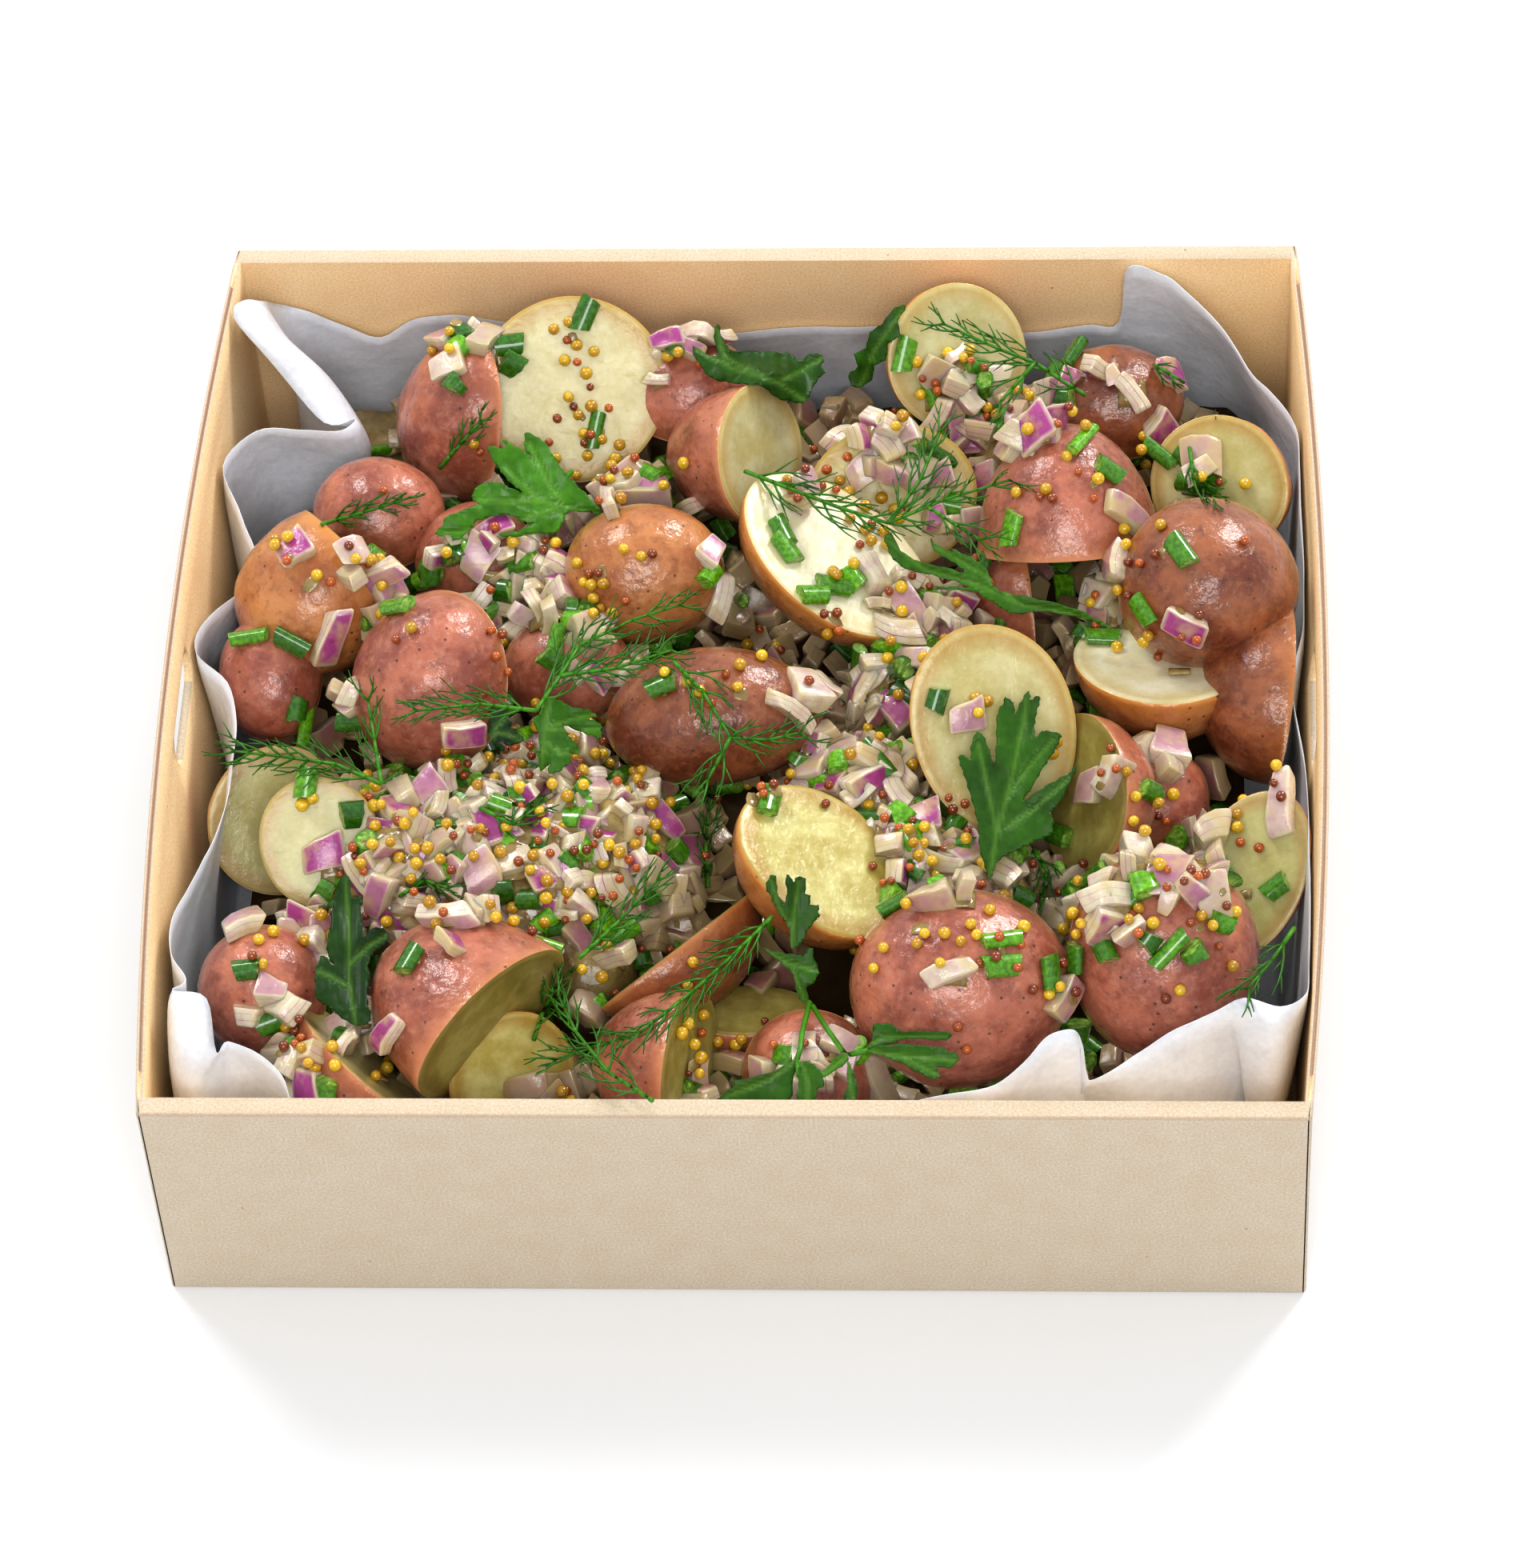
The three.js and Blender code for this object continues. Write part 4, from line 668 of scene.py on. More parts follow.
# Potatoes, numbered as in the model: centre of the cut face, size, the way the face looks, finish
potatoes = [
    {"at": (94, 25, 54), "size": (18.5, 17.5, 17), "face": (95, -50, 0), "skin": "brown"},
    {"at": (-40, 81, 50), "size": (20, 19.3, 14), "face": (-80, 48, 0), "skin": "rose", "flesh": "butter"},
    {"at": (51, -13, 54), "size": (17, 20, 16), "face": (-72, 48, 0), "skin": "orange", "flesh": "butter"},
    {"at": (17, 34, 52), "size": (22, 17, 17), "face": (-3, 63, 64), "skin": "orange", "flesh": "white"},
    {"at": (45, -72, 46), "size": (20.8, 20.5, 18), "face": (95, -50, 0), "skin": "rose"},
    {"at": (85, -64, 46), "size": (19.4, 20, 18), "face": (95, -50, 0), "skin": "rose"},
    {"at": (-63, 3, 50), "size": (17, 18.5, 17), "face": (60, -40, 0), "skin": "rose"},
    {"at": (-47, -79, 44), "size": (20, 16, 25), "face": (-42, -5, 0), "skin": "rose", "flesh": "tan"},
    {"at": (17, -43, 50), "size": (19.5, 16.5, 17), "face": (0, 62, 64), "skin": "orange", "flesh": "yellow"},
    {"at": (0, 65, 48), "size": (14.5, 15, 23), "face": (-23, 25, 0), "skin": "rose", "flesh": "cream"},
    {"at": (41, 89, 50), "size": (15, 16, 15), "face": (-62, 42, 0), "skin": "orange", "flesh": "cream"},
    {"at": (65, 44, 43), "size": (19.5, 18, 26), "face": (-85, -50, 0), "skin": "rose"},
    {"at": (84, 13, 44), "size": (18, 17, 18), "face": (90, 72, 0), "skin": "orange", "flesh": "white"},
    {"at": (-89, 28, 48), "size": (15.5, 17, 19), "face": (44, 22, 0), "cut": 10, "skin": "orange"},
    {"at": (-22, 33, 47), "size": (16.8, 14.5, 14), "face": (95, -50, 0), "skin": "orange"},
    {"at": (-6, -4, 47), "size": (22.5, 14, 14), "face": (95, -50, 0), "skin": "brown"},
    {"at": (96, 57, 46), "size": (15.5, 15, 14), "face": (-120, 45, 0), "skin": "orange", "flesh": "butter"},
    {"at": (-84, -36, 46), "size": (12.5, 13, 9), "face": (-80, 50, 0), "skin": "rose", "flesh": "pale"},
    {"at": (-73, -84, 38), "size": (17, 15, 17), "face": (39, 33, 0), "skin": "rose", "flesh": "pale"},
    {"at": (-8, -88, 40), "size": (15, 16, 20), "face": (-15, 10, 0), "skin": "rose", "flesh": "tan"},
    {"at": (-12, -55, 36), "size": (20, 14, 14), "face": (135, 30, 0), "skin": "brown", "flesh": "tan"},
    {"at": (-62, 81, 42), "size": (17, 18, 15), "face": (20, -20, 0), "skin": "rose"},
    {"at": (73, 85, 40), "size": (15, 13, 12), "face": (90, -70, 0), "skin": "brown"},
    {"at": (68, -22, 44), "size": (17, 15, 15), "face": (-160, 30, 0), "skin": "rose", "flesh": "tan"},
    {"at": (101, -40, 42), "size": (12, 18, 9), "face": (-120, 55, 0), "skin": "rose", "flesh": "pale"},
    {"at": (108, 8, 38), "size": (20, 18, 16), "face": (0, -10, 0), "skin": "brown"},
    {"at": (-94, -69, 40), "size": (13.5, 13, 13), "face": (95, -50, 0), "skin": "rose"},
    {"at": (1, -68, 33), "size": (14, 9, 12), "face": (90, 70, 0), "skin": "rose", "flesh": "tan"},
    {"at": (28, 56, 44), "size": (17, 16, 14), "face": (-80, 50, 0), "skin": "rose", "flesh": "yellow"},
    {"at": (-79, 53, 42), "size": (14, 12, 12), "face": (90, -70, 0), "skin": "rose"},
    {"at": (-58, 43, 40), "size": (13, 12, 12), "face": (90, -70, 0), "skin": "rose"},
    {"at": (-38, 13, 40), "size": (13, 12, 11), "face": (90, -70, 0), "skin": "rose"},
    {"at": (-99, 11, 40), "size": (11, 13, 12), "face": (90, -60, 0), "skin": "rose"},
    {"at": (-95, -21, 34), "size": (15, 16, 13), "face": (-70, 45, 0), "skin": "rose", "flesh": "pale"},
    {"at": (-44, -84, 32), "size": (13, 14, 10), "face": (-60, 30, 0), "skin": "orange", "flesh": "yellow"},
    {"at": (15, -85, 34), "size": (14, 13, 12), "face": (95, -50, 0), "skin": "rose"},
    {"at": (56, 38, 34), "size": (12, 14, 14), "face": (10, 0, 0), "skin": "rose"},
    {"at": (-16, 87, 42), "size": (14, 13, 11), "face": (90, -80, 0), "skin": "rose"},
    {"at": (83, -16, 34), "size": (11, 11, 10), "face": (90, -70, 0), "skin": "rose"},
]
# Rings of the cut face, from the skin inwards: share of the half width, and how far the flesh stands up
faceRings = [(0.985, 0.12), (0.955, 0.22), (0.9, 0.26), (0.8, 0.26), (0.62, 0.22), (0.4, 0.2), (0.18, 0.18)]
potatoShape = {"round": 60, "rings": 40, "wrinkle": 0.28, "wrinkleSize": 5, "fine": 0.1, "fineSize": 1.7,
               "faceWave": 0.12, "faceWaveSize": 4, "eyes": 3, "eyeDepth": 0.45, "eyeRadius": 1.4,
               "rimWidth": 2.2}


def potatoAxes(potato):
    azimuth, elevation, spin = (math.radians(angle) for angle in potato["face"])
    normal = Vector((math.cos(azimuth) * math.cos(elevation), math.sin(azimuth) * math.cos(elevation),
                     math.sin(elevation)))
    level = Vector((-math.sin(azimuth), math.cos(azimuth), 0))
    across = level * math.cos(spin) + normal.cross(level) * math.sin(spin)
    return across, normal.cross(across), normal


# The slow swelling of a potato, as in its solid
def lump(x, y, z, number):
    return (1 + 0.03 * math.sin(2.2 * x + 1.3 * number) + 0.03 * math.sin(2.6 * z + 2.1 * number)
            + 0.015 * math.sin(3.1 * y + 0.7 * number))


def buildPotato(number, potato):
    halfWidth, halfLength, depth = potato["size"]
    cutAt = potato.get("cut", 0)
    cut = cutAt / depth
    bm = bmesh.new()
    bmesh.ops.create_uvsphere(bm, u_segments=potatoShape["round"], v_segments=potatoShape["rings"], radius=1)
    splitAt(bm, (0, 0, cut), (0, 0, 1), clear_outer=True)
    rise, heart, rim = (bm.verts.layers.float.new(name) for name in ("rise", "fromHeart", "rim"))
    for vert in bm.verts:
        vert[heart] = 1
    ring = [edge for edge in bm.edges if edge.is_boundary]
    share = 1
    for smaller, stands in faceRings:
        made = bmesh.ops.extrude_edge_only(bm, edges=ring)["geom"]
        for vert in vertsOf(made):
            vert.co.x *= smaller / share
            vert.co.y *= smaller / share
            vert[rise], vert[heart] = stands, smaller
        for face in made:
            if isinstance(face, bmesh.types.BMFace):
                face.material_index = 1
        ring = rimOf(made)
        share = smaller
    cap = bmesh.ops.holes_fill(bm, edges=ring)["faces"]
    for face in cap:
        face.material_index = 1
    for vert in bmesh.ops.poke(bm, faces=cap)["verts"]:
        vert[rise] = faceRings[-1][1]
    across, along, normal = potatoAxes(potato)
    centre = Vector(potato["at"])
    random.seed(100 + number)
    eyes = []
    for _ in range(potatoShape["eyes"]):
        angle, low = random.uniform(0, 2 * math.pi), -random.uniform(0.15, 0.95)
        flat = math.sqrt(1 - low * low)
        eyes.append(centre + across * flat * math.cos(angle) * halfWidth
                    + along * flat * math.sin(angle) * halfLength + normal * low * depth)
    offset = Vector((number * 7.3, number * 3.1, number * 5.7))
    for vert in bm.verts:
        x, y, z = vert.co
        onSkin = vert[heart] == 1
        factor = lump(x, z, -y, number)
        isCut = vert[heart] < 1 or z > cut - 1e-4
        height = cutAt + vert[rise] if isCut else cutAt + (z * depth - cutAt) * factor
        vert[rim] = math.exp((z - cut) * depth / potatoShape["rimWidth"]) if onSkin else 0
        point = centre + across * x * halfWidth * factor + along * y * halfLength * factor + normal * height
        if onSkin:
            out = (point - centre + normal * 2).normalized()
            fade = min(1, (cut - z) * 6 + 0.15)
            push = potatoShape["wrinkle"] * noise.noise(point / potatoShape["wrinkleSize"] + offset)
            push += potatoShape["fine"] * noise.noise(point / potatoShape["fineSize"] + offset)
            for eye in eyes:
                gap = (point - eye).length / potatoShape["eyeRadius"]
                push -= potatoShape["eyeDepth"] * math.exp(-gap * gap)
            vert.co = point + out * push * fade
        else:
            wave = noise.noise(point / potatoShape["faceWaveSize"] + offset)
            vert.co = point + normal * potatoShape["faceWave"] * wave
    return toMesh(bm)


# Everything that lies in the tray, as one surface that later pieces are dropped on
food = {"points": [], "faces": []}


def addToFood(mesh):
    shift = len(food["points"])
    food["points"].extend(vert.co.copy() / mm for vert in mesh.vertices)
    food["faces"].extend([shift + index for index in face.vertices] for face in mesh.polygons)


skins = {kind: potatoSkin(kind) for kind in skinTones}
fleshes = {kind: potatoFlesh(kind) for kind in fleshTones}
for number, potato in enumerate(potatoes):
    name, kind = f"{number + 1:02d}", potato["skin"]
    finish = [skins[kind], fleshes[potato.get("flesh", "tan")]]
    piece = addPiece("halvedPotato_" + name, buildPotato(number, potato), finish,
                     ["potato_" + name])
    addToFood(piece.data)
print("potatoes built", len(food["faces"]))

# The heap under and between them: x, y, top, radius of each mound, on a bed
mounds = [
    (-44, -37, 48, 26), (-63, -27, 46, 20), (-28, -30, 46, 18), (-71, -43, 45, 14),
    (22, -17, 45, 14), (36, -32, 44, 13), (50, -42, 42, 11), (-57, 33, 43, 14),
    (-40, 33, 43, 12), (40, 27, 40, 13), (-30, -56, 38, 10), (-86, -57, 44, 9),
    (-72, 20, 46, 9), (-25, 58, 43, 11), (107, -28, 44, 8), (73, -42, 42, 11),
    (54, 74, 45, 12), (76, 25, 42, 9), (33, 12, 41, 13), (-40, -8, 42, 10),
]
bed = {"top": 24, "half": (101, 99), "sink": 0.5, "pitch": 1.5, "floor": 3, "paperGap": 1.2, "paintedShadeBelow": 38,
       "paintedShadeRamp": 10, "openCorner": (-84, 88), "openReach": 30, "lumps": ((1.1, 4.5), (0.6, 1.9))}
farAway = 1e9


def moundTop(x, y):
    height = bed["top"]
    for centreX, centreY, top, radius in mounds:
        share = 1 - ((x - centreX) ** 2 + (y - centreY) ** 2) / (radius * radius)
        if share > 0:
            height = max(height, bed["top"] + (top - bed["top"]) * math.sqrt(share))
    return height


# How far the outline is from the middle, on the way to a point
def outlineReach(x, y, outline):
    reach = farAway
    way = Vector((x, y)).normalized()
    for start, end in zip(outline, outline[1:] + outline[:1]):
        run = end - start
        side = way.x * run.y - way.y * run.x
        if abs(side) < 1e-9:
            continue
        far = (start.x * run.y - start.y * run.x) / side
        share = (start.x * way.y - start.y * way.x) / side
        if far > 0 and -1e-6 <= share <= 1 + 1e-6:
            reach = min(reach, far)
    return reach


def buildBed():
    paperAtTop = [min(linerColumn(column), key=lambda point: abs(point.z - bed["top"])).xy
                  for column in linerColumns]
    halfX, halfY = bed["half"]
    across, along = round(2 * halfX / bed["pitch"]), round(2 * halfY / bed["pitch"])
    bm = bmesh.new()
    bmesh.ops.create_grid(bm, x_segments=across, y_segments=along, size=1)
    deep = bm.verts.layers.float.new("deep")
    for vert in bm.verts:
        x, y = vert.co.x * halfX, vert.co.y * halfY
        far = math.hypot(x, y)
        reach = outlineReach(x, y, paperAtTop) - bed["paperGap"] if far > 1 else farAway
        if far > reach:
            x, y = x * reach / far, y * reach / far
        point = Vector((x, y, moundTop(x, y) - bed["sink"]))
        point.z += sum(height * noise.noise(point / size) for height, size in bed["lumps"])
        # Painted shade: the bed is marked for darkening below a height, faded out near the open corner
        fade = min(1, (point.xy - Vector(bed["openCorner"])).length / bed["openReach"]) ** 3
        vert[deep] = max(0, min(1, (bed["paintedShadeBelow"] - point.z) / bed["paintedShadeRamp"])) * fade
        vert.co = point
    around = [edge for edge in bm.edges if edge.is_boundary]
    made = bmesh.ops.extrude_edge_only(bm, edges=around)["geom"]
    for vert in vertsOf(made):
        vert.co.z = bed["floor"]
    bmesh.ops.holes_fill(bm, edges=rimOf(made))
    return toMesh(bm)


dressingMaterial = mustardDressing()
firstBedFace = len(food["faces"])
bedPiece = addPiece("dressedBed", buildBed(), [dressingMaterial], ["relish"])
addToFood(bedPiece.data)
foodTree = BVHTree.FromPolygons(food["points"], food["faces"])
print("bed built", len(bedPiece.data.polygons))


# The spot, normal and face of the food that lie under a point, or behind a photo pixel
def dropOn(x, y):
    return foodTree.ray_cast(Vector((x, y, 120)), Vector((0, 0, -1)))[:3]


def lookOn(u, v):
    return foodTree.ray_cast(cameraSpot, pixelRay(u, v))[:3]


# Small pieces: a template mesh with a mark for each corner, copied to many places and joined
def template(bm, marks=None):
    bmesh.ops.triangulate(bm, faces=bm.faces)
    bm.verts.index_update()
    points = np.array([vert.co for vert in bm.verts])
    faces = np.array([[vert.index for vert in face.verts] for face in bm.faces])
    marks = np.array(marks) if marks else np.zeros((len(points), 2))
    bm.free()
    return points, faces, marks


# A copy's own two values go into its marks: how strong the green one is, and the blue one
def joinCopies(name, copies, material):
    points, faces, marks = [], [], []
    shift = 0
    for (base, corners, paint), matrix, tone in copies:
        points.append(base @ np.array(matrix.to_3x3()).T + np.array(matrix.translation))
        faces.append(corners + shift)
        colours = np.ones((len(base), 4))
        colours[:, :2] = paint * (1, tone[0])
        colours[:, 2] = tone[1]
        marks.append(colours)
        shift += len(base)
    mesh = bpy.data.meshes.new(name)
    mesh.from_pydata(np.concatenate(points).tolist(), [], np.concatenate(faces).tolist())
    layer = mesh.attributes.new("mark", "FLOAT_COLOR", "POINT")
    layer.data.foreach_set("color", np.concatenate(marks).ravel())
    piece = addPiece(name, mesh, [material])
    piece.data.set_sharp_from_angle(angle=math.radians(50))
    return piece


def placing(spot, normal, turn, lift=0.0, tilt=(0, 0), size=(1, 1, 1)):
    lean = Vector((0, 0, 1)).rotation_difference(normal).to_matrix().to_4x4()
    spin = Matrix.Rotation(math.radians(turn), 4, "Z")
    tip = Matrix.Rotation(tilt[0], 4, "X") @ Matrix.Rotation(tilt[1], 4, "Y")
    return Matrix.Translation(spot + normal * lift) @ lean @ spin @ tip @ Matrix.Diagonal((*size, 1))


# Onion dice: blocks cut from the bulb, bent like its layers, centred on the origin. The mark's red says how
# high a point lies in the block, for the lines between the layers; its green is strong on the outermost layer
onionShape = {"edgeRadius": 0.12, "bend": (0.4, 0.85), "taper": 0.3, "skew": 0.35, "pinch": 0.2, "wave": 0.8}


def onionTemplate(seed, long, wide, thick):
    random.seed(seed)
    bm = bmesh.new()
    mark = bm.verts.layers.float_color.new("mark")
    bmesh.ops.create_cube(bm, size=1)
    lengthwise = [edge for edge in bm.edges if abs(edge.verts[0].co.x - edge.verts[1].co.x) > 0.5]
    bmesh.ops.subdivide_edges(bm, edges=lengthwise, cuts=2)
    edges = [edge for edge in bm.edges if edge.calc_face_angle(0) > 1]
    bmesh.ops.bevel(bm, geom=edges, offset=onionShape["edgeRadius"], affect="EDGES", segments=2, profile=0.6,
                    material=-1)
    bend = random.uniform(*onionShape["bend"])
    taper, skew, lean, pinch = (random.uniform(-onionShape[key], onionShape[key])
                                for key in ("taper", "skew", "skew", "pinch"))
    for vert in bm.verts:
        x, y, z = vert.co
        radius, angle = long / bend + z * thick, x * bend
        wave = onionShape["wave"] * noise.noise(Vector((x * 1.6 + seed, y * 1.6, z * 1.3)))
        vert.co = Vector((math.sin(angle) * radius + y * wide * skew + z * thick * lean,
                          y * wide * (1 + taper * x * 2 + pinch * z * 2) + wave,
                          math.cos(angle) * radius - long / bend + wave * 0.5))
        vert[mark] = ((z + 0.5) * 0.98, 1 if z > 0.36 else 0.4, 0, 1)
    return template(bm, [(vert[mark][0], vert[mark][1]) for vert in bm.verts])


onionSizes = [(7, 5.4, 4.2), (6, 5, 4), (9.2, 5, 3.8), (5, 4.8, 3.4), (8, 6, 4), (6.4, 4.4, 4.6),
              (5.4, 5.8, 3), (4.4, 4, 3.2), (10.5, 4.6, 3), (6.2, 3.6, 2.6)]
onionKinds = [onionTemplate(seed, *size) for seed, size in enumerate(onionSizes, 1)]
onionLengths = [size[0] for size in onionSizes]
# Dice and rings that stand out in the photo: x, y, length and turn
onionHeroes = [
    (-85, 12, 13, 80), (-57, -13, 9, 10), (-84, -38, 8, 20), (-66, -86, 10, 30), (83, 76, 7, 60),
    (-92, 25, 7, 40), (-58, 86, 9, 70), (-19, 90, 10, 15), (-38, 48, 9, 50), (-7, 28, 11, 75),
    (-81, 25, 6, 20), (-40, -27, 8, 60), (-45, -43, 9, 15), (77, 39, 13, -15), (89, 9, 9, -30),
    (108, -30, 13, 85), (87, -57, 12, -40), (43, -80, 10, 20), (14, -17, 10, 10), (-86, -58, 12, -10),
    (-97, -62, 8, 35), (45, -12, 7, 20), (48, 86, 9, -35), (36, -30, 8, 15), (22, -18, 9, -20),
    (85, 85, 6, 10), (27, -26, 9, 80), (-63, -26, 8, 60), (26, 64, 8, 5), (22, 60, 8, 40),
    (33, 60, 8, 75), (64, -78, 9, 70), (-52, -32, 9, 30), (-34, -32, 8, -20), (-57, -38, 8, 75),
    (-28, -25, 9, 10), (-68, -36, 8, 50), (-48, -22, 7, 20), (-25, 57, 8, 30), (37, 27, 8, 15),
    (-57, 35, 8, 65), (76, 26, 8, 80), (52, -40, 8, 30), (74, -42, 8, 20), (33, 14, 8, 50),
]
violetHeroes = (0, 1, 2, 3, 4, 5, 14, 23, 25)
chiveHeroes = [
    (-53, 87, 6, 10), (-37, 93, 7, 70), (-35, 75, 8, 80), (-102, 12, 8, 0), (-93, 11, 7, -35),
    (-70, 9, 7, -30), (6, 35, 6, -60), (7, 31, 7, -50), (13, 21, 6, 20), (17, 25, 7, 10),
    (30, 87, 7, 85), (36, 82, 11, -60), (73, 46, 6, -15), (54, 36, 7, 60), (88, 20, 7, -60),
    (81, 13, 6, -70), (72, 19, 7, 0), (90, 62, 8, -55), (84, 65, 8, -45), (94, 58, 6, -30),
    (9, 14, 9, -5), (17, 7, 12, -45), (6, -34, 6, 80), (64, -26, 7, -35), (107, -44, 5, 30),
    (95, -29, 22, -50), (76, -66, 9, 30), (81, -63, 8, 20), (95, -67, 5, 0), (90, -58, 7, -30),
    (53, -73, 8, 20), (53, -78, 7, 10), (62, -76, 7, -70), (32, -62, 6, 10), (-62, -74, 6, 60),
    (-90, -80, 7, 25), (-78, -96, 5, 70), (-95, -73, 5, 5), (-87, -27, 6, 85), (-16, -7, 6, 15),
    (68, -70, 6, 60), (-50, -30, 7, 20), (-38, -40, 7, 70), (-60, -32, 7, 10), (-30, -22, 7, -30),
    (26, -22, 7, 40), (-42, 28, 7, 30),
]


# Chive lengths: open tubes, some squashed, the cut ends and the inside paler by the mark's red
def chiveTemplate(long, radius, squash, wall):
    bm = bmesh.new()
    for reach in (radius, radius * (1 - wall)):
        bmesh.ops.create_cone(bm, cap_ends=False, segments=14, radius1=reach, radius2=reach, depth=long)
    ends = [edge for edge in bm.edges if edge.is_boundary]
    for sign in (-1, 1):
        bmesh.ops.bridge_loops(bm, edges=[edge for edge in ends if edge.verts[0].co.z * sign > 0])
    marks = [(1 if vert.co.xy.length < radius * 0.98 else 0, 0) for vert in bm.verts]
    bmesh.ops.rotate(bm, cent=(0, 0, 0), matrix=Matrix.Rotation(math.pi / 2, 3, "Y"), verts=bm.verts)
    for vert in bm.verts:
        x, y, z = vert.co
        slant, wave, bend = 0.25 * y * math.copysign(1, x), 0.3 * noise.noise(vert.co), 0.02 * x * x
        vert.co = Vector((x + slant + wave, y / squash, z * squash - bend))
    bmesh.ops.recalc_face_normals(bm, faces=bm.faces)
    return template(bm, marks)


chiveSizes = [(4.6, 2.0, 0.92, 0.22), (6.2, 1.8, 0.8, 0.2), (3, 2.5, 0.95, 0.2), (9, 1.4, 0.85, 0.25),
              (4, 2.2, 0.75, 0.2)]
chiveKinds = [chiveTemplate(*size) for size in chiveSizes]
chiveLengths = [size[0] for size in chiveSizes]


def nearest(lengths, wanted):
    return min(range(len(lengths)), key=lambda index: abs(lengths[index] - wanted))


# A map of how high the food stands: every piece laid raises it, and the next one lies on its slope
reliefPitch, reliefHalf, steepest = 1.5, 102, 1.6
reliefCount = round(2 * reliefHalf / reliefPitch) + 1
relief = np.full((reliefCount, reliefCount), float(bed["top"]))
openBed = np.ones((reliefCount, reliefCount), bool)


def reliefSpot(i, j):
    return i * reliefPitch - reliefHalf, j * reliefPitch - reliefHalf


def reliefCell(x, y):
    return tuple(max(1, min(reliefCount - 2, round((value + reliefHalf) / reliefPitch))) for value in (x, y))


for i, j in np.ndindex(relief.shape):
    spot, _, face = dropOn(*reliefSpot(i, j))
    if spot:
        relief[i, j], openBed[i, j] = spot.z, face >= firstBedFace
bareRelief = relief.copy()


def rollDown(x, y, steps):
    i, j = reliefCell(x, y)
    for _ in range(steps):
        around = relief[i - 1:i + 2, j - 1:j + 2]
        di, dj = np.unravel_index(np.argmin(around), (3, 3))
        if around[di, dj] > relief[i, j] - 0.25:
            break
        i = max(1, min(reliefCount - 2, i + di - 1))
        j = max(1, min(reliefCount - 2, j + dj - 1))
    return reliefSpot(i, j)


def restOn(x, y, radius, thick):
    i, j = reliefCell(x, y)
    wide = max(1, round(radius * 0.7 / reliefPitch))
    around = relief[max(0, i - wide):i + wide + 1, max(0, j - wide):j + wide + 1]
    slopes = [(rows[-1].mean() - rows[0].mean()) / ((len(rows) - 1) * reliefPitch)
              for rows in (around, around.T)]
    normal = Vector([-max(-steepest, min(steepest, slope)) for slope in slopes] + [1]).normalized()
    height = around.mean() * 0.55 + relief[i, j] * 0.45
    own = around.mean() + thick * 0.8
    np.maximum(around, np.minimum(own, around + thick), out=around)
    return Vector((x, y, height)), normal


# What a piece adds to the map: how far it reaches and how thick it is. The reach is a share of its length,
# but for the loose chives
laid = {"heroOnion": (0.45, 2.6), "heroChive": (0.35, 2.4), "onion": (0.45, 3.1), "chive": (2.4, 2.2)}
lift = {"heroOnion": 1.5, "onion": 1.3, "chive": 1.2}
onions, chives = [], []
random.seed(7)
for index, (x, y, long, turn) in enumerate(onionHeroes):
    spot, normal, _ = dropOn(x, y)
    kind = nearest(onionLengths, long)
    size = long / onionLengths[kind]
    violet = 1 if index in violetHeroes else random.choice((0, 0.2, 0.5))
    matrix = placing(spot, normal, turn, lift["heroOnion"], size=(size, min(size, 1.15), 1))
    onions.append((onionKinds[kind], matrix, (violet, random.random())))
    restOn(x, y, long * laid["heroOnion"][0], laid["heroOnion"][1])
for x, y, long, turn in chiveHeroes:
    spot, normal, _ = dropOn(x, y)
    kind = nearest(chiveLengths, long)
    matrix = placing(spot, normal, turn, lift["chive"], size=(long / chiveLengths[kind], 1, 1))
    chives.append((chiveKinds[kind], matrix, (1, random.uniform(0.1, 0.9))))
    restOn(x, y, long * laid["heroChive"][0], laid["heroChive"][1])

# Loose onion and chives over the mounds, over the potatoes by photo pixel (u, v, spread, how many), and
# rolled down into the gaps, apart from the hollows that the photo shows dark
scatter = {"perArea": 0.042, "chiveShare": 0.3, "overMound": 6, "gaps": 340, "gapArea": (97, 96),
           "gapTop": 44, "gapSteps": 14, "skipShare": 0.85, "edge": (98, 97), "hollowRadius": 8,
           "hollowTop": 27, "hollowReach": 48, "clusterTop": 68, "overhang": 6, "coverGap": 5.4,
           "coverEdge": (97, 95), "across": (210, 1660, 12), "down": (400, 1400, 12)}
